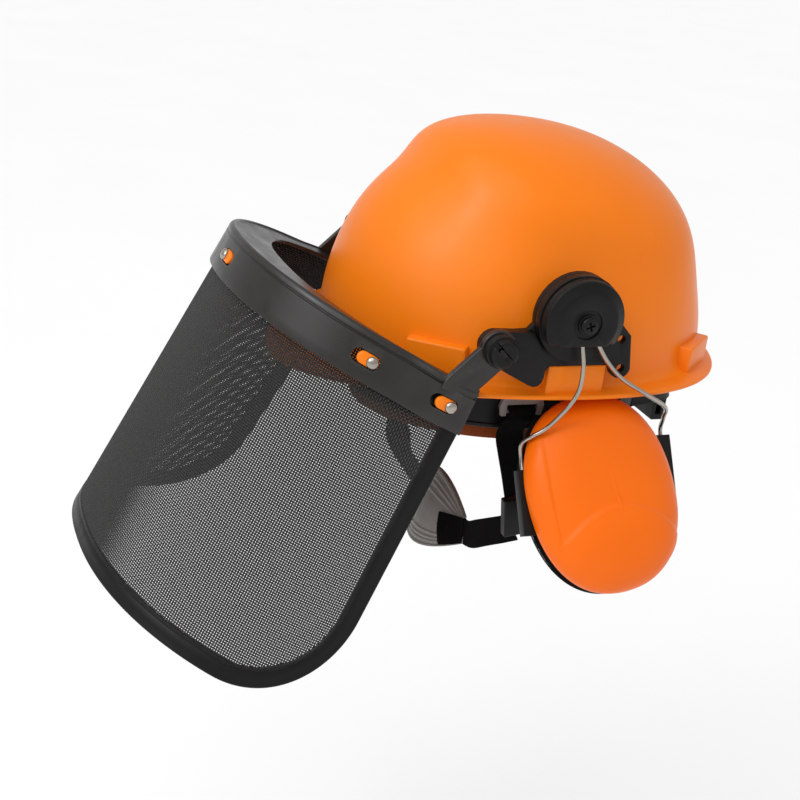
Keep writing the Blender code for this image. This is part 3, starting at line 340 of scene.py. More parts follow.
def smooth_path(route, steps):
    """A smooth curve through a route's points, which are in millimetres."""
    points = [Vector(point) * MM for point in route]
    ends = [points[0] * 2 - points[1], *points, points[-1] * 2 - points[-2]]
    path = []
    for a, b, c, d in zip(ends, ends[1:], ends[2:], ends[3:]):
        for i in range(steps):
            t = i / steps
            square, cube = 2 * a - 5 * b + 4 * c - d, 3 * b - a - 3 * c + d
            path.append(0.5 * (2 * b + (c - a) * t + square * t * t + cube * t**3))
    return [*path, points[-1]]


def superellipse(angle, half_x, half_y, squareness):
    cosine, sine = np.cos(angle), np.sin(angle)
    power = 2 / squareness
    return half_x * np.sign(cosine) * np.abs(cosine) ** power, half_y * np.sign(sine) * np.abs(sine) ** power


def smooth_step(value):
    value = np.clip(value, 0, 1)
    return value * value * (3 - 2 * value)


def stand_for(piece, node, *more):
    """The piece takes the place of CAD nodes, on their body and with their material slot."""
    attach(piece, BODY_OF[node])
    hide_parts(node, *more)
    return finish_with(piece, SLOT_OF[node])


def belong(piece, body, slot):
    """A detail that no CAD node has."""
    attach(piece, body)
    return finish_with(piece, slot)


def finish_with(piece, slot, material=None):
    piece.data.materials.clear()
    piece.data.materials.append(MATERIALS[material or slot])
    return piece


# Materials


class Nodes:
    """Short names for building a material's node tree."""

    def __init__(self, name):
        self.material = bpy.data.materials.new(name)
        self.material.use_nodes = True
        self.tree = self.material.node_tree
        self.shader = self.tree.nodes["Principled BSDF"]
        self.place = self.new("TexCoord").outputs["Object"]

    def feed(self, socket, value):
        """Links the socket to another one, or sets it to a plain value."""
        if isinstance(value, bpy.types.NodeSocket):
            self.tree.links.new(value, socket)
        else:
            socket.default_value = value

    def fill(self, node, **inputs):
        for key, value in inputs.items():
            self.feed(node.inputs[key.replace("_", " ")], value)
        return node

    def new(self, kind, **inputs):
        return self.fill(self.tree.nodes.new(f"ShaderNode{kind}"), **inputs)

    def set(self, **values):
        self.fill(self.shader, **values)

    def noise(self, scale, detail=3.0, roughness=0.5, stretch=(1, 1, 1)):
        place = self.new("Mapping", Scale=stretch, Vector=self.place).outputs["Vector"]
        noise = self.new("TexNoise", Scale=scale, Detail=detail, Roughness=roughness, Vector=place)
        return noise.outputs["Fac"]

    def cells(self, scale, feature, **inputs):
        node = self.new("TexVoronoi")
        node.feature = feature
        return self.fill(node, Scale=scale, Vector=self.place, **inputs).outputs["Distance"]

    def math(self, operation, *values, clamp=False):
        node = self.new("Math")
        node.operation = operation
        node.use_clamp = clamp
        for socket, value in zip(node.inputs, values):
            self.feed(socket, value)
        return node.outputs[0]

    def add(self, a, b):
        return self.math("ADD", a, b)

    def times(self, a, b):
        return self.math("MULTIPLY", a, b)

    def spread(self, factor, low, high, start=0.0, end=1.0):
        node = self.new("MapRange", From_Min=start, From_Max=end, To_Min=low, To_Max=high, Value=factor)
        return node.outputs["Result"]

    def mix(self, factor, low, high):
        node = self.new("Mix")
        node.data_type = "RGBA"
        low, high = ((*value, 1) if isinstance(value, tuple) else value for value in (low, high))
        return self.fill(node, Factor=factor, A=low, B=high).outputs["Result"]

    def attribute(self, name):
        node = self.new("Attribute")
        node.attribute_name = name
        return node.outputs["Fac"]

    def edges(self, low, high):
        """1 on convex edges and 0 on flat faces."""
        return self.spread(self.new("NewGeometry").outputs["Pointiness"], 0, 1, low, high)

    def colour(self, factor, low, high):
        self.set(Base_Color=self.mix(factor, low, high))

    def rough(self, factor, low, high):
        self.set(Roughness=self.spread(factor, low, high, 0.3, 0.7))

    def bump(self, height, strength, distance):
        node = self.new("Bump", Strength=strength, Distance=distance, Height=height)
        last = self.shader.inputs["Normal"]
        if last.is_linked:
            self.fill(node, Normal=last.links[0].from_socket)
        self.feed(last, node.outputs["Normal"])


def moulded(name, dark, light, rough, grain, specular):
    """Injection-moulded plastic: fine satin grain, slow colour drift and slightly uneven gloss."""
    n = Nodes(name)
    drift = n.noise(14, 2)
    speck = n.noise(1400, 2)
    flow = n.noise(55, 4, 0.6, (1, 1, 0.35))
    n.colour(n.add(n.times(drift, 0.8), n.times(flow, 0.2)), dark, light)
    n.rough(flow, rough - 0.04, rough + 0.05)
    n.bump(flow, 0.05, 0.4 * MM)
    n.bump(speck, grain, 0.08 * MM)
    n.set(Specular_IOR_Level=specular, Subsurface_Weight=0.04)
    n.set(Subsurface_Radius=(1.0, 0.35, 0.1), Subsurface_Scale=2 * MM)
    return n.material


def black_moulded(name, base, edge, rough, specular):
    """Black plastic whose edges are rubbed a little lighter."""
    n = Nodes(name)
    drift = n.noise(30, 3)
    scuff = n.noise(420, 5, 0.65)
    wear = n.math("MULTIPLY", n.edges(0.52, 0.62), n.spread(scuff, 0.1, 0.8, 0.35, 0.65), clamp=True)
    body = n.mix(drift, tuple(0.75 * v for v in base), tuple(1.3 * v for v in base))
    n.colour(wear, body, edge)
    n.rough(n.noise(90, 4), rough - 0.06, rough + 0.07)
    n.bump(n.noise(1100, 3), 0.22, 0.1 * MM)
    n.set(Specular_IOR_Level=specular)
    return n.material


def drawn_steel(name, dark, light):
    """Drawn steel: lengthwise streaks in its gloss and faint stains."""
    n = Nodes(name)
    drawn = n.noise(500, 4, 0.6, (1, 1, 0.12))
    n.colour(n.noise(60, 3), dark, light)
    n.rough(drawn, 0.14, 0.3)
    n.bump(drawn, 0.12, 0.05 * MM)
    n.set(Metallic=1.0)
    return n.material


def coated_wire(name):
    """Wire under an uneven black coat."""
    n = Nodes(name)
    coat = n.noise(700, 3)
    n.colour(coat, (0.012, 0.012, 0.012), (0.035, 0.034, 0.032))
    n.rough(coat, 0.42, 0.62)
    n.bump(n.noise(3500, 2), 0.2, 0.05 * MM)
    n.set(Specular_IOR_Level=0.45)
    return n.material


def woven(name, dark, light):
    """Woven webbing: diagonal ribs across it, with fine yarn along each."""
    n = Nodes(name)
    along, across = n.attribute("along"), n.attribute("across")
    weft = n.math("SINE", n.times(n.add(along, n.times(across, 0.55)), TURN / (1.1 * MM)))
    warp = n.math("SINE", n.times(across, TURN / (0.75 * MM)))
    height = n.add(n.add(n.times(weft, 0.32), n.times(warp, 0.18)), 0.5)
    fuzz = n.noise(2600, 3)
    # Painted shade: the colour darkens in the weave's grooves where the rib height is low, mixed with random
    # yarn fuzz.
    n.colour(n.add(n.times(height, 0.7), n.times(fuzz, 0.3)), dark, light)
    n.rough(fuzz, 0.72, 0.92)
    n.bump(height, 0.7, 0.25 * MM)
    n.bump(fuzz, 0.3, 0.1 * MM)
    n.set(Specular_IOR_Level=0.05)
    return n.material


def leather(name, dark, light, rough, pebble):
    """Synthetic leather: pebbled grain, its colour darker between the pebbles as painted shade in the creases,
    plus a slow random drift in tone.
    """
    n = Nodes(name)
    grain = n.cells(pebble, "SMOOTH_F1", Smoothness=0.35)
    creases = n.cells(pebble * 0.45, "DISTANCE_TO_EDGE")
    drift = n.noise(45, 4)
    # Painted shade: lighter on the raised pebbles and darker towards the creases between them, mixed with a
    # slow random drift in tone.
    n.colour(n.add(n.times(grain, 0.45), n.times(drift, 0.5)), light, dark)
    n.rough(drift, rough - 0.06, rough + 0.1)
    n.bump(n.spread(creases, 0, 1, 0, 0.12), 0.25, 0.15 * MM)
    n.bump(grain, -0.35, 0.18 * MM)
    n.set(Specular_IOR_Level=0.15)
    return n.material


def open_foam(name):
    """Dark foam with open pores, painted darker inside each pore as shade."""
    n = Nodes(name)
    pores = n.cells(900, "SMOOTH_F1", Smoothness=0.2)
    # Painted shade: each pore is darker towards its recessed middle.
    n.colour(pores, (0.02, 0.02, 0.021), (0.09, 0.09, 0.095))
    n.rough(pores, 0.85, 1.0)
    n.bump(pores, 0.9, 0.6 * MM)
    return n.material


def smoky_plastic(name):
    """Translucent grey-brown plastic with flow marks."""
    n = Nodes(name)
    flow = n.noise(70, 4, 0.55, (0.3, 1, 1))
    n.colour(flow, (0.17, 0.155, 0.145), (0.30, 0.28, 0.265))
    n.rough(flow, 0.3, 0.46)
    n.bump(flow, 0.12, 0.3 * MM)
    n.set(Transmission_Weight=0.35, IOR=1.49, Subsurface_Weight=0.1, Subsurface_Scale=1.5 * MM)
    return n.material


MATERIALS = {
    name: make(name, *values)
    for name, make, *values in (
        ("orange_shell", moulded, (0.80, 0.175, 0.003), (0.88, 0.205, 0.005), 0.34, 0.10, 0.22),
        ("orange_cup", moulded, (0.80, 0.125, 0.001), (0.88, 0.155, 0.002), 0.36, 0.16, 0.2),
        ("black_plastic", black_moulded, (0.004, 0.0037, 0.0034), (0.03, 0.028, 0.026), 0.4, 0.2),
        ("gloss_black_plastic", black_moulded, (0.012, 0.0108, 0.0098), (0.07, 0.066, 0.062), 0.3, 0.45),
        ("woven_wire", coated_wire),
        ("steel", drawn_steel, (0.30, 0.27, 0.24), (0.46, 0.43, 0.39)),
        ("blackened_steel", drawn_steel, (0.015, 0.014, 0.013), (0.045, 0.042, 0.04)),
        ("clip_plastic", smoky_plastic),
        ("black_webbing", woven, (0.0008, 0.0007, 0.0006), (0.005, 0.0045, 0.004)),
        ("brow_leatherette", leather, (0.13, 0.022, 0.001), (0.30, 0.055, 0.004), 0.6, 700),
        ("cushion_vinyl", leather, (0.004, 0.004, 0.004), (0.014, 0.0135, 0.013), 0.42, 900),
        ("foam", open_foam),
    )
}


# Shell


def dome(angle, rise):
    """Points of the shell's outer face: rise runs from 0 at the brim to 1 at the apex."""
    angle, rise = np.broadcast_arrays(np.asarray(angle, float), np.asarray(rise, float))
    radius = np.cos(rise * math.pi / 2) ** 0.858
    height = DOME_HEIGHT * np.sin(rise * math.pi / 2)
    length = np.where(np.sin(angle) > 0, DOME_REAR, DOME_FRONT)
    centre = DOME_CENTRE_Y + (APEX_Y - DOME_CENTRE_Y) * (height / DOME_HEIGHT) ** 2
    x = DOME_HALF_WIDTH * np.cos(angle) * radius
    y = length * np.sin(angle) * radius + centre
    reach = np.abs(x / CROWN_HALF_WIDTH) ** 3 + np.abs((y - CROWN_CENTRE_Y) / CROWN_HALF_LENGTH) ** 3
    raised = 1 / (1 + np.exp(np.minimum(30, (reach - 1) / CROWN_EDGE)))
    normal = np.stack(
        [x / DOME_HALF_WIDTH**2, (y - DOME_CENTRE_Y) / length**2, height / DOME_HEIGHT**2], -1
    )
    normal /= np.linalg.norm(normal, axis=-1, keepdims=True)
    return np.stack([x, y, height], -1) + normal * (CROWN_RISE * raised)[..., None]


def brim(angle):
    """Points of the brim's outer edge."""
    rear = np.sin(angle) > 0
    x_rear, y_rear = superellipse(angle, BRIM_HALF_WIDTH, BRIM_REAR, 2.3)
    x_front, y_front = superellipse(angle, BRIM_HALF_WIDTH, BRIM_FRONT, 1.9)
    x, y = np.where(rear, x_rear, x_front), np.where(rear, y_rear, y_front)
    drop = np.where(rear, NAPE_DROP * (y / BRIM_REAR) ** 2, PEAK_DROP * np.abs(y / BRIM_FRONT) ** 2.2)
    return np.stack([x, y + BRIM_CENTRE_Y, -drop], -1)


def wall_frame(place):
    """The wall's outer face at a pocket, its outward direction, and the turn onto the wall's directions."""
    angle = math.radians(POCKET_ANGLES[place])
    here = dome(angle, 0.06)
    ahead = dome(angle + 0.01, 0.06) - dome(angle - 0.01, 0.06)
    along = Vector((ahead[0], ahead[1], 0)).normalized()
    outward = Vector((along.y, -along.x, 0))
    return Vector((here[0], here[1], 0)), outward, axes(outward, along)


def build_shell():
    angle = np.linspace(0, TURN, 240, endpoint=False)
    edge = brim(angle)
    corner = dome(angle, 0) + (0, 0, 1.2 * MM)
    foot = dome(angle, 0.05)
    flat_end = edge + (corner - edge) * 0.62
    inward = (corner - edge) * (1, 1, 0)
    inward /= np.linalg.norm(inward, axis=1, keepdims=True)
    round_edge = 1.1 * MM
    start = edge + inward * round_edge
    rows = [start + (flat_end - start) * share for share in np.linspace(0, 1, 6)]
    for t in np.linspace(0, 1, 9)[1:]:
        rows.append(flat_end * (1 - t) ** 2 + corner * (2 * t * (1 - t)) + foot * t * t)
    rows += [dome(angle, rise) for rise in np.linspace(0.05, 0.975, 84)[1:]]
    outer = np.array(rows)
    normal = np.cross(np.roll(outer, -1, 1) - np.roll(outer, 1, 1), np.gradient(outer, axis=0))
    normal /= np.linalg.norm(normal, axis=-1, keepdims=True)
    inner = outer - normal * SHELL_WALL
    middle = (outer[0] + inner[0]) / 2
    lip = []
    for turn in np.radians([-60, -30, 0, 30, 60]):
        lip.append(middle - inward * (round_edge * math.cos(turn)) + (0, 0, SHELL_WALL / 2 * math.sin(turn)))
    shell = skin("shell_fine", np.concatenate([inner[::-1], np.array(lip), outer]))
    blocks, slots = [], []
    for place in POCKET_ANGLES:
        origin, _, turn = wall_frame(place)
        top = 20 if place.startswith("front") else 15
        blocks.append(bevel(placed(box((-5.4, -17, -2.3), (5.6, 17, top)), origin, turn), 1.3 * MM))
        slots.append(placed(box((-2.6, -12.8, -12), (3, 12.8, top - 2.4)), origin, turn))
    for side in SIDES.values():
        blocks.append(bevel(side_box(side, (97, -24.4, -2.05), (106.6, 10.8, 16)), 0.9 * MM))
        slots.append(side_box(side, (100.7, -21.7, 2), (104.9, 8.1, 20)))
        stud = [(86.6, 2.9), (86.9, 3.1), (88.0, 3.1), (88.1, 2.2), (96, 2.2)]
        blocks.append(turned("stud", stud, (0, CLIP_Y, 5 * MM), (side, 0, 0), 20))
    boolean(shell, "UNION", blocks, 30)
    boolean(shell, "DIFFERENCE", slots, 30)
    stand_for(shell, "shell")


# Suspension


def band_point(angle, offset=0.0):
    """A point on the headband's middle line, or some way outside it."""
    wide, long = BAND_HALF_WIDTH + offset, BAND_HALF_LENGTH + offset
    return np.array([wide * math.cos(angle), long * math.sin(angle), 0])


def band_skin(name, start, end, steps, section):
    """A band round the head, whose section gives (offset, height) pairs at an angle."""
    rows, along, across = [], [], []
    for angle in np.radians(np.linspace(start, end, steps + 1)):
        ring = section(angle)
        rows.append([band_point(angle, offset) + (0, 0, height) for offset, height in ring])
        along.append([angle * (BAND_HALF_WIDTH + BAND_HALF_LENGTH) / 2] * len(ring))
        across.append([height for _, height in ring])
    return skin(name, rows, attributes={"along": along, "across": across})


def build_headband():
    """A band with a rib along each edge and a row of slots at each end."""
    half = BAND_THICKNESS / 2
    ribbed = half + 0.7 * MM
    bend = 0.4 * MM
    edge = [(-half, 0.4), (bend - half, 0), (ribbed - bend, 0), (ribbed, 0.5), (ribbed, 2.2), (half, 2.8)]
    ring = [(offset, BAND_BOTTOM + up * MM) for offset, up in edge]
    ring += [(offset, BAND_TOP - down * MM) for offset, down in reversed(edge)]
    band = band_skin("headband_fine", -220, 40, 150, lambda angle: ring)
    slots = []
    for degrees in (*range(-218, -196, 7), *range(16, 38, 7)):
        centre = Vector(band_point(math.radians(degrees)))
        out = centre.normalized()
        turn = axes(out, Vector((-out.y, out.x, 0)))
        slots.append(placed(box((-4, -1.6, -4.5), (4, 1.6, 4.5)), centre + Vector((0, 0, -20 * MM)), turn))
    boolean(band, "DIFFERENCE", slots)
    stand_for(band, "headband")


def build_sweatband():
    """A padded leatherette strip, stitched along both edges."""
    middle = -(BAND_THICKNESS / 2 + 1.6 * MM)
    low, high = BAND_BOTTOM - 8 * MM, BAND_TOP - 9 * MM

    def rounding(t):
        return max(0.15, min(1, min(t, 1 - t) / 0.08) ** 0.5)

    def section(angle):
        pucker = 1 + 0.10 * math.sin(angle * 46) + 0.06 * math.sin(angle * 17 + 1)
        ring = []
        for t in np.linspace(0, 1, 15):
            stitch = min(abs(t - 0.12), abs(t - 0.88)) / 0.05
            full = (0.75 + 0.25 * math.sin(math.pi * t)) * (0.55 + 0.45 * smooth_step(stitch)) * rounding(t)
            ring.append((middle - 1.5 * MM * full * pucker, low + (high - low) * t))
        back = [(middle + 1.25 * MM * rounding(t), low + (high - low) * t) for t in np.linspace(1, 0, 9)]
        return ring + back

    band = band_skin("sweatband_soft", -190, 10, 260, section)
    stand_for(band, "sweatband")
    threads = []
    for share in (0.12, 0.88):
        for degrees in np.arange(-188, 8, 1.9):
            path = []
            for step, lift in ((0, 0.2), (0.35, 0.55), (0.7, 0.65), (1.05, 0.55), (1.3, 0.2)):
                point = band_point(math.radians(degrees + step), middle - 0.75 * MM - lift * 0.5 * MM)
                path.append(Vector(point) + Vector((0, 0, low + (high - low) * share)))
            threads.append(tube("stitch", path, 0.28 * MM, 5))
    thread = combined("sweatband_stitching", threads)
    thread.data.shade_smooth()
    belong(thread, "helmet", "black_webbing")


def strap_end(place):
    """Where a crown strap ends at a hanger key, just inside the headband's outer face."""
    origin, outward, _ = wall_frame(place)
    wide, long = BAND_HALF_WIDTH + 1.5 * MM, BAND_HALF_LENGTH + 1.5 * MM
    reach = 60 * MM
    while True:
        point = origin - outward * reach
        if (point.x / wide) ** 2 + (point.y / long) ** 2 >= 1:
            return origin - outward * (reach - 1.3 * MM)
        reach -= 0.25 * MM


def flat_band(name, path, across, width, thickness):
    """A woven band along a path, with soft edges and its own weave coordinates."""
    flat = width / 2 - 0.35 * MM
    lower = [(u * flat, -thickness / 2 * (1 - 0.12 * u * u)) for u in np.linspace(-1, 1, 9)]
    section = [*lower, (width / 2, 0), *((-u, -v) for u, v in lower), (-width / 2, 0)]
    rows, along = [], []
    travelled = 0.0
    for i, point in enumerate(path):
        ahead = (path[min(i + 1, len(path) - 1)] - path[max(i - 1, 0)]).normalized()
        side = across(i / (len(path) - 1))
        side = (side - ahead * side.dot(ahead)).normalized()
        normal = ahead.cross(side)
        travelled += (point - path[max(i - 1, 0)]).length
        rows.append([point + side * u + normal * v for u, v in section])
        along.append([travelled] * len(section))
    across_values = [[u for u, _ in section]] * len(path)
    return skin(name, rows, attributes={"along": along, "across": across_values})


def build_crown_straps():
    pairs = {"a": ("front_left", "rear_right", 0), "b": ("front_right", "rear_left", 2.2 * MM)}
    top, base = 92 * MM, 6.4 * MM
    for name, (first, last, drop) in pairs.items():
        ends = [strap_end(first), strap_end(last)]
        centre = Vector((0, (ends[0].y + ends[1].y) / 2, 0))
        path = []
        for turn in np.linspace(0, math.pi, 89):
            level = centre.lerp(ends[int(turn > math.pi / 2)], abs(math.cos(turn)) ** 0.9)
            path.append(Vector((level.x, level.y, base + (top - drop - base) * math.sin(turn) ** 0.9)))
        run = (ends[1] - ends[0]).normalized()
        side = Vector((-run.y, run.x, 0))
        strap = flat_band(f"crown_strap_{name}_woven", path, lambda share: side, 19 * MM, 1.5 * MM)
        stand_for(strap, f"crown_strap_{name}")


def build_nape_straps():
    """Two tails that overlap in the ratchet housing, each with a rim along its edges."""
    route = [(54.6, 61), (53.0, 72), (50.8, 83.5), (47.6, 92), (44.6, 96.2), (41.4, 98), (36, 98), (26, 98)]
    section = [(0.9, -1), (0.9, -0.86), (0.6, -0.78), (0.6, 0.78), (0.9, 0.86), (0.9, 1)]
    section += [(-0.9, 1), (-0.9, 0.3), (-0.9, -0.3), (-0.9, -1)]
    start = [tuple(band_point(math.radians(14 + 8 * i), -2.1 * MM) / MM)[:2] for i in range(4)]
    path = smooth_path([(x, y, 0) for x, y in start + route], 12)
    shares = [min(1, i / (len(path) - 1) * 1.4) for i in range(len(path))]
    heights = [(18 - 10 * share) * MM for share in shares] + [8 * MM]
    for name, side in SIDES.items():
        end_z = NAPE_Z + 7.4 * MM * side
        points = [Vector((p.x, p.y, -26 * MM + (end_z + 26 * MM) * share)) for p, share in zip(path, shares)]
        points.append(Vector((-20 * MM, NAPE_Y, end_z)))
        rows = []
        for i, (point, height) in enumerate(zip(points, heights)):
            ahead = points[min(i + 1, len(points) - 1)] - points[max(i - 1, 0)]
            out = Vector((ahead.y, -ahead.x, 0)).normalized() * MM
            ring = [point + out * thick + Vector((0, 0, height / 2 * up)) for thick, up in section]
            rows.append(reflected(ring, side))
        stand_for(skin(f"nape_strap_{name}_fine", rows), f"nape_strap_{name}")


def build_ratchet():
    refined("ratchet_housing", 1.4 * MM, 4)
    profile = [
        (-1.3, 3.1), (5.2, 3.1), (5.3, 15.2), (5.8, 15.8), (7, 16), (14, 15.6), (15.4, 14.8), (16, 13),
        (15.2, 12.2), (15.0, 6), (15.4, 3), (15.5, 0.6),
    ]
    turn = np.linspace(0, TURN, 144, endpoint=False)
    rows = []
    for reach, radius in profile:
        gripped = 5.9 < reach < 15 and radius > 15
        r = (radius - 0.55 * gripped * np.maximum(0, np.cos(18 * turn))) * MM
        ring = [r * np.cos(turn), np.full(len(turn), NAPE_Y + reach * MM), NAPE_Z + r * np.sin(turn)]
        rows.append(np.stack(ring, -1))
    stand_for(skin("ratchet_knob_fine", rows), "ratchet_knob")


# Hub and arm


def d_ring(x, radius, chord, side):
    """A circle about the hub's axis whose lower part is cut off level, in millimetres."""
    ring = []
    for turn in np.linspace(0, TURN, 96, endpoint=False):
        down = -math.sin(turn)
        reach = min(radius, chord / down) if down > 1e-6 else radius
        ring.append((side * x * MM, HUB_Y + reach * MM * math.cos(turn), HUB_Z + reach * MM * math.sin(turn)))
    return ring


def facing(side, degrees):
    """The turn that faces a tool into a side, with a turn about its own axis first."""
    return Matrix.Rotation(side * math.pi / 2, 4, "Y") @ Matrix.Rotation(math.radians(degrees), 4, "Z")


def build_hub(name, side):
    refined(f"adapter_plate_{name}", 0.5 * MM)
    refined(f"hub_base_{name}", 0.6 * MM)
    profile = [
        (112.3, 22.9, 12.3), (112.7, 23.4, 12.6), (114.2, 23.4, 12.6), (114.6, 23.0, 12.4), (115.0, 23.4, 12.6),
        (117.6, 23.4, 12.6), (118.3, 23.0, 12.5), (118.7, 22.1, 12.4), (120.9, 18.6, 12.3), (121.4, 17.6, 12.2),
        (121.6, 16.4, 12.0), (121.6, 8.6, 8.6), (121.4, 8.2, 8.2), (120.6, 8.0, 8.0), (120.6, 5.9, 5.9),
        (121.5, 5.7, 5.7), (121.6, 5.3, 5.3), (121.6, 2.7, 2.7), (112.3, 2.6, 2.6),
    ]
    cap = skin(f"hub_cap_{name}_fine", [d_ring(*ring, side) for ring in profile], path=True)
    boolean(cap, "DIFFERENCE", [side_box(side, (113.7, -15.4, 28.5), (120.4, -1.4, 39.5))])
    stand_for(cap, f"hub_cap_{name}")
    head = [
        (103.4, 2.2), (121.8, 2.2), (121.9, 4.4), (122.2, 4.8), (123.2, 4.9), (123.9, 4.5),
        (124.3, 3.6), (124.4, 0.4),
    ]
    screw = turned(f"hub_screw_{name}_fine", head, (0, HUB_Y, HUB_Z), (side, 0, 0))
    for long, short in ((2.6, 0.55), (0.55, 2.6)):
        arm = box((-long, -short, -1.6), (long, short, 2))
        boolean(screw, "DIFFERENCE", [placed(arm, (side * 124.2 * MM, HUB_Y, HUB_Z), facing(side, 20))])
    stand_for(screw, f"hub_screw_{name}")


def build_wire(name, side):
    route = [
        (-50.2, -23.2, -92), (-50.2, -23.2, -76), (-50.2, -23.2, -59), (-46, -24.2, -50.5), (-39, -21, -47.4),
        (-32.5, -14.3, -43.6), (-22.2, -6.1, -34.5), (-17, -1.8, -27.2), (-12.9, -0.8, -20.6),
        (-7.8, -1.6, -12.5),
        (-2.8, -3.9, -4.6), (-0.5, -3.4, -0.4), (0, -1.6, 0), (0, 1.6, 0), (-0.5, 3.6, -0.6), (-2.9, 6.4, -4.9),
        (-8.2, 13.8, -12.8), (-14.4, 25.4, -21.1), (-21.5, 42, -27.9), (-33, 61.5, -34.5), (-42, 65.5, -39.5),
        (-50.2, 67.4, -46), (-50.2, 67.4, -60), (-50.2, 67.4, -76),
    ]
    path = [Vector(point) for point in reflected(moved(smooth_path(route, 10), ARM), side)]
    stand_for(tube(f"muff_wire_{name}_fine", path, WIRE_RADIUS, 16), f"muff_wire_{name}")


# Ear cup


def cup_ring(out, half_width, half_height, count=220):
    angle = np.linspace(0, TURN, count, endpoint=False)
    y, z = superellipse(angle, half_width, half_height, CUP_SQUARENESS)
    return np.stack([np.full(count, out), y, z], -1)


def cup_relief(points):
    """The face's shallow panel, which a curved crease ends below and a straight one ends in front."""
    back, up = points[..., 1] / MM, points[..., 2] / MM
    above = up + 8.2 + np.where(back < -4, 0.0125, 0.015) * (back + 4) ** 2
    behind = back + 38.5 - 0.0022 * np.maximum(0, up + 14) ** 2
    inside = smooth_step(above / 3.4 + 0.5) * smooth_step(behind / 4.6 + 0.5)
    near = np.minimum(above, behind)
    ridge = np.exp(-((near / 1.5) ** 2))
    swell = np.exp(-(((above + 12) / 10) ** 2)) * smooth_step(-above / 6) * smooth_step(behind / 8)
    return (-1.25 * inside + 0.32 * ridge + 0.9 * swell) * MM * smooth_step(points[..., 0] / (7 * MM))


def add_cup_piece(label, name, side, rows, **joins):
    piece = skin(f"{label}_{name}_fine", reflected(moved(rows, CUP), side), **joins)
    return stand_for(piece, f"{label}_{name}")


def build_cup_shell(name, side):
    rows = []
    for share in np.concatenate([np.linspace(0, 0.16, 16), np.linspace(0.16, 0.99, 110)[1:]]):
        inset = share * 46 * MM
        out = CUP_DEPTH * (1 - (1 - share) ** 2.6) ** 0.45
        rows.append(cup_ring(out, CUP_HALF_WIDTH - inset, CUP_HALF_HEIGHT - inset))
    outer = np.array(rows)
    outer[..., 0] += cup_relief(outer)
    wall = 2.2 * MM
    inner = outer[::3] - (wall, 0, 0)
    inner[..., 1:] *= 1 - wall / CUP_HALF_WIDTH
    inner[0, :, 0] = 0
    rim = cup_ring(0, CUP_HALF_WIDTH - 0.5 * MM, CUP_HALF_HEIGHT - 0.5 * MM)
    add_cup_piece("cup_shell", name, side, np.concatenate([inner[::-1], rim[None], outer[1:]]))


def ring_rows(section, outer, count):
    """Rings round the ear opening from (out, inset, share), with share 0 at the rim and 1 at the hole."""
    rows = []
    for out, inset, share in section:
        wide, tall = ((edge - inset) * (1 - share) + hole * share for edge, hole in zip(outer, EAR_HOLE))
        rows.append(cup_ring(out * MM, wide * MM, tall * MM, count))
    return np.array(rows)


def build_back_plate(name, side):
    section = [
        (-6.3, 0.6, 0), (-5.8, 0, 0), (-3.9, 0, 0), (-3.5, 0.5, 0), (-3.1, 0, 0), (-0.9, 0, 0), (-0.3, 0.6, 0),
        (-0.3, 0, 0.5), (-0.3, 0, 1), (-6.3, 0, 1), (-6.3, 0, 0.5),
    ]
    add_cup_piece("cup_back_plate", name, side, ring_rows(section, (39.6, 53), 144), path=True)


def build_cushion(name, side):
    """A vinyl ring over foam: crowned, seamed at its outer edge and puckered round the hole."""
    count = 288
    angle = np.linspace(0, TURN, count, endpoint=False)
    generator = random.Random(7)
    phases = [generator.uniform(0, TURN) for _ in range(4)]
    waves = zip((0.5, 0.3, 0.25), (41, 23, 67), phases)
    pucker = sum(size * np.sin(number * angle + phase) for size, number, phase in waves)
    slack = 0.5 * np.sin(5 * angle + phases[3])
    rows = []
    for share in np.linspace(0, 1, 27):
        crown = math.sin(math.pi * share)
        ring = ring_rows([(-6.9 - 9.2 * crown**0.62, 0, share * 0.96 + 0.02)], CUSHION_EDGE, count)[0]
        if 0 < share < 1:
            near_edge = math.exp(-((share / 0.1) ** 2)) + math.exp(-(((1 - share) / 0.16) ** 2))
            ring[:, 0] += (0.35 * near_edge * pucker + 0.25 * slack * crown) * MM
        rows.append(ring)
    rows.extend(ring_rows([(-6.7, 0, 1), (-6.7, 0, 0.5), (-6.7, 0, 0)], CUSHION_EDGE, count))
    add_cup_piece("ear_cushion", name, side, rows, path=True)
    seam = ring_rows([(-8.1, -0.15, 0.012)], CUSHION_EDGE, 220)[0]
    seam = [Vector(point) for point in reflected(moved(seam, CUP), side)]
    out = Vector(reflected(CUP.to_3x3().col[0], side))
    rows = []
    for i, point in enumerate(seam):
        ahead = (seam[(i + 1) % len(seam)] - seam[i - 1]).normalized()
        rows.append(circle(point, out, ahead.cross(out), 0.45 * MM, 8))
    belong(skin(f"cushion_piping_{name}", rows, path=True), f"ear_cup_{name}", "cushion_vinyl")


def build_foam(name, side):
    rows = []
    for out, inset in ((0.4, 6), (1.4, 5.4), (4, 5.4), (6.2, 6.2), (7.6, 8), (8.4, 11)):
        rows.append(cup_ring(out * MM, CUP_HALF_WIDTH - inset * MM, CUP_HALF_HEIGHT - inset * MM, 96))
    add_cup_piece("foam_insert", name, side, rows)


# Visor


VISOR = Matrix.Translation((0, PIVOT_Y, PIVOT_Z)) @ Matrix.Rotation(-VISOR_RAISE, 4, "X")


def visor_point(angle, drop, half_width, depth):
    """Points on the visor's curved face: angle runs from 0 at the left end to pi at the right end."""
    angle, drop = np.float64(angle), np.float64(drop)
    angle, drop, half_width, depth = np.broadcast_arrays(angle, drop, half_width, depth)
    x, y = superellipse(np.clip(angle, 0, math.pi), half_width, depth, GUARD_SQUARENESS)
    flare = 1 + SCREEN_FLARE * drop / SCREEN_HEIGHT
    return np.stack([x * flare, GUARD_END_Y - y, GUARD_TOP - drop], -1)


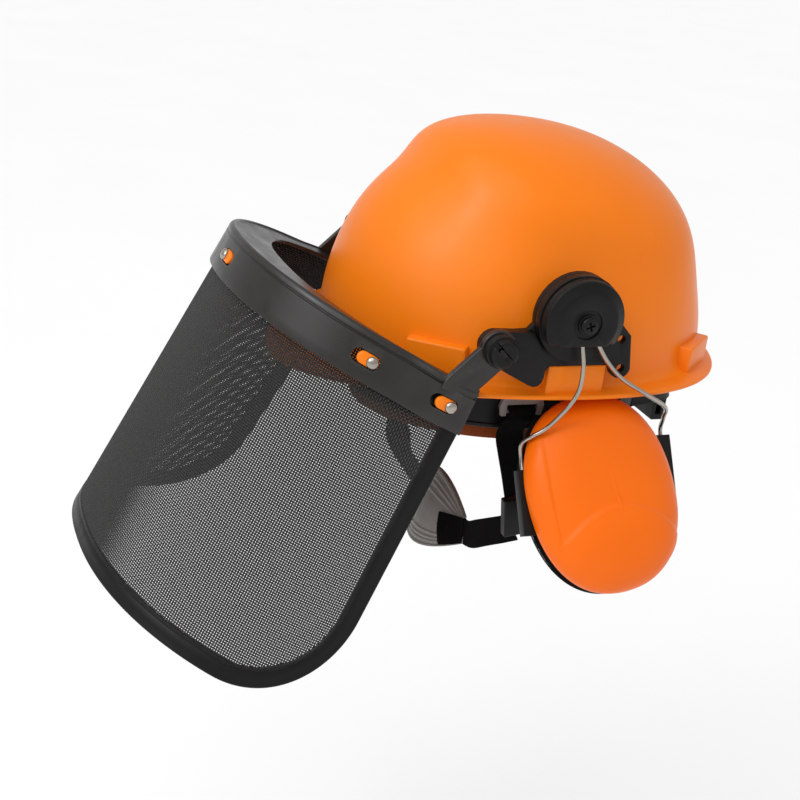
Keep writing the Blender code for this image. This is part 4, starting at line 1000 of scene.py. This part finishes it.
def face_normal(angle, half_width, depth):
    """The visor face's outward direction."""
    step = 1e-3
    low, high = np.maximum(angle - step, 0), np.minimum(angle + step, math.pi)
    ahead = visor_point(high, 0, half_width, depth) - visor_point(low, 0, half_width, depth)
    normal = np.stack([-ahead[..., 1], ahead[..., 0], 0 * ahead[..., 0]], -1)
    return normal / np.linalg.norm(normal, axis=-1, keepdims=True)


def distances(half_width, depth):
    """Fine angles along the visor's curve, with the distance to each."""
    angle = np.linspace(0, math.pi, 4001)
    steps = np.diff(visor_point(angle, 0, half_width, depth), axis=0)
    return angle, np.append(0, np.cumsum(np.linalg.norm(steps, axis=1)))


SCREEN_ANGLES, SCREEN_DISTANCES = distances(SCREEN_HALF_WIDTH, SCREEN_DEPTH)
SCREEN_LENGTH = SCREEN_DISTANCES[-1]


def at_distance(distance):
    return np.interp(distance, SCREEN_DISTANCES, SCREEN_ANGLES)


def end_share(y, start, full):
    return smooth_step((y - start) / (full - start))


def swollen(points, amount=1.0):
    """Points of the guard's outer face, which swells towards its two ends to take in the lugs."""
    points = np.array(points, float)
    drop = (GUARD_TOP - points[..., 2]) / GUARD_HEIGHT
    swell = END_SWELL - END_DRAFT * drop
    y = points[..., 1].copy()
    points[..., 0] += np.sign(points[..., 0]) * swell * amount * end_share(y, -40 * MM, -13 * MM)
    points[..., 1] -= END_CUT * amount * end_share(y, -20 * MM, GUARD_END_Y) * (1 - 0.4 * drop)
    return points


def stud_frame(angle):
    """A point in a stud slot, half a wall under the face, with the directions outwards and to its stud."""
    outward = Vector(face_normal(angle, GUARD_HALF_WIDTH, GUARD_DEPTH))
    face = swollen(visor_point(angle, STUD_DROP, GUARD_HALF_WIDTH, GUARD_DEPTH))
    point = Vector(face) - outward * (GUARD_WALL / 2)
    along = Vector((-outward.y, outward.x, 0))
    return point, outward, along if point.x > 1 * MM else -along


def pill(name, angle, length, height, levels, shift=0.0):
    """A rounded bar across the guard's wall: levels hold (reach outwards, inset) pairs, in millimetres."""
    point, outward, along = stud_frame(angle)
    half = (length - height) / 2
    rows = []
    for reach, inset in levels:
        ring = []
        for centre, start in ((half, -90), (-half, 90)):
            for turn in np.radians(np.linspace(start, start + 180, 15)):
                u = centre + (height / 2 - inset) * math.cos(turn)
                up = Vector((0, 0, (height / 2 - inset) * math.sin(turn)))
                ring.append(point + (outward * reach + along * u + up) * MM + along * shift)
        rows.append(ring)
    return skin(name, moved(rows, VISOR))


def build_guard():
    fine, travelled = distances(GUARD_HALF_WIDTH, GUARD_DEPTH)
    angle = np.interp(np.linspace(0, travelled[-1], 220), travelled, fine)
    sections = []

    def on_wall(*corners):
        for inset, drop in corners:
            face = visor_point(angle, drop * MM, GUARD_HALF_WIDTH - inset * MM, GUARD_DEPTH - inset * MM)
            sections.append(swollen(face, 1 - smooth_step(inset / 2.3) if drop > 4 else 1.0))

    def on_roof(*corners):
        for share, drop in corners:
            wide = GUARD_HALF_WIDTH + (ROOF_HALF_WIDTH - GUARD_HALF_WIDTH) * share
            deep = GUARD_DEPTH + (ROOF_DEPTH - GUARD_DEPTH) * share
            sections.append(visor_point(angle, drop * MM, wide, deep))

    on_wall((0.5, 26), (0.1, 25.7), (0, 25.2), (0, 20), (0, 12), (0, 5.2), (0.5, 4.7), (0.5, 4.1))
    on_wall((0, 3.6), (0, 2.2), (0.3, 1.2), (0.9, 0.4), (1.7, 0), (2.6, 0.1), (3.2, 0.8))
    on_roof((0.34, 1.1), (0.45, 1.0), (0.6, 1.1), (0.75, 1.2), (0.9, 1.3), (0.97, 1.6), (1.0, 2.3))
    on_roof((1.0, 3.4), (0.96, 3.9), (0.6, 3.9), (0.2, 3.4))
    on_wall((2.4, 4.2), (2.4, 12), (2.4, 20), (2.4, 25.5), (1.9, 26))
    guard = skin("brow_guard_fine", moved(np.swapaxes(sections, 0, 1), VISOR))
    for side in SIDES.values():
        boolean(guard, "UNION", [build_lug(side)], 32)
    holes = []
    for side in SIDES.values():
        hole = turned("hole", [(100, 3.3), (120, 3.3)], (0, 0, 0), (side, 0, 0), 32)
        hole.data.transform(VISOR)
        holes.append(hole)
    for label, angle in STUD_ANGLES.items():
        holes.append(pill("slot", angle, 16.5, 8, ((-4, 0), (4, 0))))
        if label.endswith("rear"):
            holes.append(pill("hole", angle, 5.02, 5, ((-14, 0), (0, 0)), STUD_SHIFT))
    boolean(guard, "DIFFERENCE", holes, 32)
    stand_for(guard, "brow_guard")


def build_lug(side):
    """The arm from the guard's end up to the pivot."""
    outline = [(10.5 * math.cos(t), 10.5 * math.sin(t)) for t in np.radians(np.linspace(-20, 200, 40))]
    outline += [(-18, -26), (-18, -32), (2.4, -32), (2.4, -24)]
    rows = np.array([[(x, y, z) for y, z in outline] for x in (110.9, 114.7)]) * MM
    return bevel(skin("lug", reflected(moved(rows, VISOR), side)), 0.9 * MM, 4)


def build_studs():
    levels = ((-1.1, 0.5), (-0.9, 0.1), (0.6, 0), (1.2, 0.25), (1.55, 0.8), (1.7, 1.5))
    head = [
        (1.75, 2.1), (1.8, 3.2), (2.1, 3.4), (2.5, 3.35), (3.0, 3.0), (3.45, 2.4), (3.75, 1.6),
        (3.88, 0.8), (3.9, 0.2),
    ]
    for label, angle in STUD_ANGLES.items():
        stand_for(pill(f"keeper_{label}_fine", angle, 12.8, 7.2, levels, KEEPER_SHIFT), f"keeper_{label}")
        point, outward, along = stud_frame(angle)
        centre = VISOR @ (point + along * STUD_SHIFT)
        tail = (-8.6 if label.endswith("rear") else -2.3, 2.1)
        stud = turned(f"stud_{label}_fine", [tail, *head], centre, VISOR.to_3x3() @ outward, 40)
        stand_for(stud, f"stud_{label}")


def wire_rows(points, normals, sideways, sign):
    """Diamond sections along a wavy wire, over and under the wires that cross it."""
    wave = 0.30 * MM * sign * np.where(np.arange(len(points)) % 2 == 0, 1, -1)
    centre = points + normals * wave[:, None]
    return np.stack([centre + way * MESH_WIRE for way in (normals, sideways, -normals, -sideways)], 1)


def build_screen():
    """Woven wires in four pieces: the upright wires by left and right, the level ones by upper and lower."""
    inset = TRIM_WIDTH - 4 * MM
    columns = int((SCREEN_LENGTH - 2 * inset) / MESH_PITCH)
    rows = int((SCREEN_HEIGHT - SCREEN_TOP) / MESH_PITCH)
    distance = np.linspace(inset, SCREEN_LENGTH - inset, columns)
    angle = at_distance(distance)
    drop = SCREEN_TOP + MESH_PITCH * np.arange(rows)
    grid = visor_point(angle[None, :], drop[:, None], SCREEN_HALF_WIDTH, SCREEN_DEPTH)
    normal = face_normal(angle, SCREEN_HALF_WIDTH, SCREEN_DEPTH)
    sideways = np.stack([-normal[:, 1], normal[:, 0], 0 * normal[:, 0]], -1)
    from_edge = np.minimum(np.minimum(distance, SCREEN_LENGTH - distance), SCREEN_CORNER)
    rounding = np.sqrt(SCREEN_CORNER**2 - (SCREEN_CORNER - from_edge) ** 2)
    low = SCREEN_HEIGHT - SCREEN_CORNER + rounding - inset
    quarters = [([], []) for _ in range(4)]

    def keep(quarter, section):
        all_points, all_faces = quarters[quarter]
        points, faces = surface(section)
        start = sum(len(p) for p in all_points)
        all_points.append(points)
        all_faces.extend([v + start for v in face] for face in faces)

    for i in range(columns):
        inside = int((drop <= low[i]).sum())
        if inside > 2:
            wire = wire_rows(grid[:inside, i], normal[i], sideways[i], 1 if i % 2 else -1)
            keep(int(i >= columns / 2), wire)
    for j in range(rows):
        inside = np.flatnonzero(low >= drop[j])
        if len(inside) > 2:
            sign = -1 if (j + inside[0]) % 2 else 1
            wire = wire_rows(grid[j, inside], normal[inside], np.array([0, 0, -1.0]), sign)
            keep(2 + int(j >= rows / 2), wire)
    for number, (points, faces) in enumerate(quarters, 1):
        points = moved(np.vstack(points), VISOR)
        stand_for(new_piece(f"mesh_screen_{number}", points, faces, 80), "mesh_screen")


def build_trim():
    """The moulded binding: rounded edges, a groove near its inner edge and a slightly uneven lip."""
    straight = SCREEN_HEIGHT - SCREEN_CORNER
    side = [(0, SCREEN_TOP + (straight - SCREEN_TOP) * t, 1, 0) for t in np.linspace(0, 1, 60)[:-1]]
    for turn in np.linspace(0, math.pi / 2, 40)[:-1]:
        out, up = math.cos(turn), math.sin(turn)
        side.append((SCREEN_CORNER * (1 - out), straight + SCREEN_CORNER * up, out, up))
    level = np.linspace(SCREEN_CORNER, SCREEN_LENGTH - SCREEN_CORNER, 110)
    bottom = [(d, SCREEN_HEIGHT, 0, 1) for d in level]
    other = [(SCREEN_LENGTH - d, v, -n, m) for d, v, n, m in reversed(side)]
    section = [
        (0.5, -1.1), (0, -0.6), (0, 0.6), (0.5, 1.1), (1.2, 1.15), (1.9, 1.0), (5, 1.05), (8.4, 1.0),
        (8.9, 0.7), (9.3, 0.7), (9.7, 1.0), (11.0, 0.9), (11.5, 0.4), (11.5, -0.4), (11.0, -0.9), (6, -1.0),
    ]
    generator = random.Random(3)
    rows = []
    ragged = 0.0
    for distance, drop, inward, upward in side + bottom + other:
        ragged = 0.6 * ragged + 0.4 * generator.uniform(-0.35, 0.35)
        reach = np.array([(reach + (ragged if reach > 9.5 else 0)) * MM for reach, _ in section])
        lift = np.array([lift * MM for _, lift in section])[:, None]
        angle = at_distance(distance + inward * reach)
        points = visor_point(angle, drop - upward * reach, SCREEN_HALF_WIDTH, SCREEN_DEPTH)
        rows.append(points + face_normal(angle, SCREEN_HALF_WIDTH, SCREEN_DEPTH) * lift)
    stand_for(skin("screen_trim_fine", moved(rows, VISOR)), "screen_trim")


def build_pivot_knob(name, side):
    """A wing knob, with a groove between its two lobes that shows its bolt's end."""
    profile = [
        (115.1, 3.3), (115.1, 8.9), (115.5, 9.2), (118.6, 9.2), (119.2, 8.9), (119.5, 8.3), (119.6, 8.0),
        (122.4, 7.7), (123.1, 7.2), (123.5, 6.4), (123.6, 5.0), (123.3, 2.0), (123.2, 0.3),
    ]
    pivot, out = (0, PIVOT_Y, PIVOT_Z), (side, 0, 0)
    knob = turned(f"pivot_knob_{name}_fine", profile, pivot, out, 64)
    groove = bevel(box((-9, -1.5, -2.4), (9, 1.5, 6)), 0.6 * MM)
    place = (side * 122.2 * MM, PIVOT_Y, PIVOT_Z)
    boolean(knob, "DIFFERENCE", [placed(groove, place, facing(side, side * 45))])
    boolean(knob, "DIFFERENCE", [turned("bore", [(110, 3.3), (121.8, 3.3)], pivot, out, 32)])
    stand_for(knob, f"pivot_knob_{name}")


# Chin strap


def build_webbing(name, route, across_keys):
    """A length of the chin strap, with its sideways direction given at even shares of the length."""

    def across(share):
        share *= len(across_keys) - 1
        key = min(int(share), len(across_keys) - 2)
        return Vector(across_keys[key]).lerp(Vector(across_keys[key + 1]), share - key)

    band = flat_band(f"{name}_woven", smooth_path(route, 9), across, WEBBING_WIDTH, WEBBING_THICKNESS)
    stand_for(band, name)


def build_clip_loop(name, side):
    """A clip, and the webbing turned over its bar."""
    turns = np.radians(np.linspace(-20, 200, 16))
    path = [(side * (88.9 + 2.1 * math.cos(t)), -17.4 + 2.1 * math.sin(t)) for t in turns]
    path = [(path[0][0], -20.6), *path, (path[-1][0], -20.6)]
    path = [Vector((x * MM, CLIP_Y, z * MM)) for x, z in path]
    loop = flat_band(f"clip_loop_{name}", path, lambda share: Vector((0, 1, 0)), WEBBING_WIDTH, 1.2 * MM)
    belong(loop, "chin_strap", "black_webbing")
    refined(f"chin_clip_{name}", 0.35 * MM)


def build_chin_strap():
    left = [
        (88.6, -28, -20), (88.2, -28.4, -23), (86, -29.8, -28), (83.9, -30, -34.5), (84, -27.4, -44),
        (84.4, -23.4, -57), (84.2, -18.8, -72.4),
    ]
    lower = [(82.4, -18.4, -95.6), (73, -22, -102), (60, -25.6, -110.4), (48, -26.8, -118), (39, -27, -120.6)]
    right = [
        (-88.6, -28, -20), (-87.8, -28.4, -23), (-83.5, -29.8, -29), (-80.8, -31, -37), (-84.4, -31, -60),
        (-82.4, -31, -83), (-77, -31, -100), (-68, -31, -109), (-56, -29.6, -116), (-46, -28, -119.6),
        (-38, -27, -121.5),
    ]
    twist = ((0, 1, 0), (-0.5, 0.75, 0), (-0.45, 0.8, 0), (-0.3, 0.7, 0.3), (0, 0, 1), (0, 0, 1))
    build_webbing("chin_webbing_left", left, ((0, 1, 0), (0, 1, 0.2)))
    build_webbing("chin_webbing_lower", lower, ((0.1, 0.3, -1), (0, 0, -1)))
    build_webbing("chin_webbing_right", right, twist)
    refined("strap_adjuster", 1.5 * MM, 5)
    build_chin_cup()
    build_webbing_end()


def build_chin_cup():
    """A dished plate with fine ribs along its long edges and a raised border."""
    rows = []
    for share in np.linspace(-1, 1, 73):
        bow = 1 - share**2
        middle = CHIN_CUP_CENTRE + Vector((CHIN_CUP_HALF_LENGTH * share, -CHIN_CUP_BOW * bow, 0))
        outer, inner = [], []
        for turn in np.linspace(-1, 1, 121):
            bulge = 4 * MM * bow * (1 - turn * turn)
            rib = 0.5 * MM * sum(math.exp(-(((abs(turn) - at) / 0.035) ** 2)) for at in (0.52, 0.68, 0.8))
            border = 0.6 * MM * smooth_step((abs(turn) - 0.9) / 0.05)
            point = middle + Vector((0, 8 * MM * bow * turn - bulge, (9.6 + 13.4 * bow) * MM * turn))
            outer.append(point - Vector((0, rib + border, 0)))
            inner.append(point + Vector((0, 1.9 * MM, 0)))
        rows.append(outer + inner[::-1])
    stand_for(skin("chin_cup_fine", rows), "chin_cup")


def chin_cup_face(x, z):
    """How far forward the chin cup's outer face is."""
    bow = max(0, 1 - (x / CHIN_CUP_HALF_LENGTH) ** 2)
    turn = (z - CHIN_CUP_CENTRE.z) / ((9.6 + 13.4 * bow) * MM)
    turn = max(-1, min(1, turn))
    return CHIN_CUP_CENTRE.y + (-CHIN_CUP_BOW + (8 * turn - 4 * (1 - turn * turn)) * MM) * bow


def build_webbing_end():
    """The lower webbing's end, cut on the slant and stitched to the chin cup's outer face."""
    rows, along, across = [], [], []
    for u in np.linspace(0, 1, 25):
        front, back = [], []
        for v in np.linspace(-1, 1, 17):
            x = (38.9 - (16.2 + 3.2 * v) * u) * MM
            z = (-120.6 - 5.6 * u + (8.5 + 1.6 * u) * v) * MM
            y = chin_cup_face(x, z) - (0.75 + 0.55 * min(1, 6 * u)) * MM
            front.append((x, y - 0.55 * MM, z))
            back.append((x, y + 0.45 * MM, z))
        rows.append(front + back[::-1])
        along.append([x for x, _, _ in rows[-1]])
        across.append([8.5 * MM * v for v in (*np.linspace(-1, 1, 17), *np.linspace(1, -1, 17))])
    end = skin("strap_end", rows, attributes={"along": along, "across": across})
    belong(end, "chin_strap", "black_webbing")


# Stage


def build_stage():
    """A floor well below the hat, which stands as if held up by the wearer."""
    mesh = bpy.data.meshes.new("floor")
    reach, level = FLOOR_REACH, cad_bounds[0][2] - FLOOR_DROP
    corners = [(-reach, -reach, level), (reach, -reach, level), (reach, reach, level), (-reach, reach, level)]
    mesh.from_pydata(corners, [], [[0, 1, 2, 3]])
    n = Nodes("pale_floor")
    n.colour(n.noise(3, 3), (0.93, 0.93, 0.93), (0.96, 0.96, 0.96))
    n.rough(n.noise(40, 3), 0.75, 0.9)
    n.set(Specular_IOR_Level=0.1)
    mesh.materials.append(n.material)
    add_object("floor", mesh)


def add_light(name, kind, energy, direction, place=(0, 0, 0)):
    data = bpy.data.lights.new(name, kind)
    data.energy = energy
    light = add_object(name, data)
    light.location = place
    light.rotation_euler = Vector(direction).to_track_quat("-Z", "Y").to_euler()
    return data


def build_light():
    world = bpy.data.worlds.new("studio")
    world.use_nodes = True
    background = world.node_tree.nodes["Background"]
    background.inputs["Color"].default_value = (1.0, 1.0, 1.0, 1)
    background.inputs["Strength"].default_value = 0.66
    bpy.context.scene.world = world
    sun = add_light("soft_sun", "SUN", 1.5, (-0.35, 0.75, -1.0))
    sun.angle = math.radians(70)
    key = add_light("key", "AREA", 6, (-0.55, 1.32, -1.17), (0.55, -1.35, 1.2))
    key.shape = "DISK"
    key.size = 0.6
    bpy.context.scene.view_settings.view_transform = "Standard"


def build_camera():
    data = bpy.data.cameras.new("camera")
    data.sensor_width = 36
    data.lens = 63.66
    data.clip_end = 100
    camera = add_object("camera", data)
    back = Vector((0.8528, -0.3626, 0.3758)).normalized()
    right = Vector((0.3456, 0.9314, 0.1144))
    right = (right - back * right.dot(back)).normalized()
    place = Matrix.Translation((0.73885, -0.37804, 0.27791))
    camera.matrix_world = place @ axes(right, back.cross(right), back)
    bpy.context.scene.camera = camera


# Assembly


def build_hard_hat():
    build_shell()
    build_headband()
    build_sweatband()
    build_crown_straps()
    build_nape_straps()
    build_ratchet()
    for place in POCKET_ANGLES:
        refined(f"hanger_key_{place}", 0.6 * MM)
    for name, side in SIDES.items():
        build_hub(name, side)
        build_wire(name, side)
        build_cup_shell(name, side)
        build_back_plate(name, side)
        build_cushion(name, side)
        build_foam(name, side)
        refined(f"slider_front_{name}", 0.9 * MM, 4)
        refined(f"slider_rear_{name}", 0.9 * MM, 4)
        bolt = f"pivot_bolt_{name}"
        finish_with(refined(bolt, 0.4 * MM), SLOT_OF[bolt], "blackened_steel")
    build_guard()
    build_studs()
    build_screen()
    build_trim()
    for name, side in SIDES.items():
        build_pivot_knob(name, side)
    for name, side in SIDES.items():
        build_clip_loop(name, side)
    build_chin_strap()


build_camera()
build_stage()
build_light()
build_hard_hat()
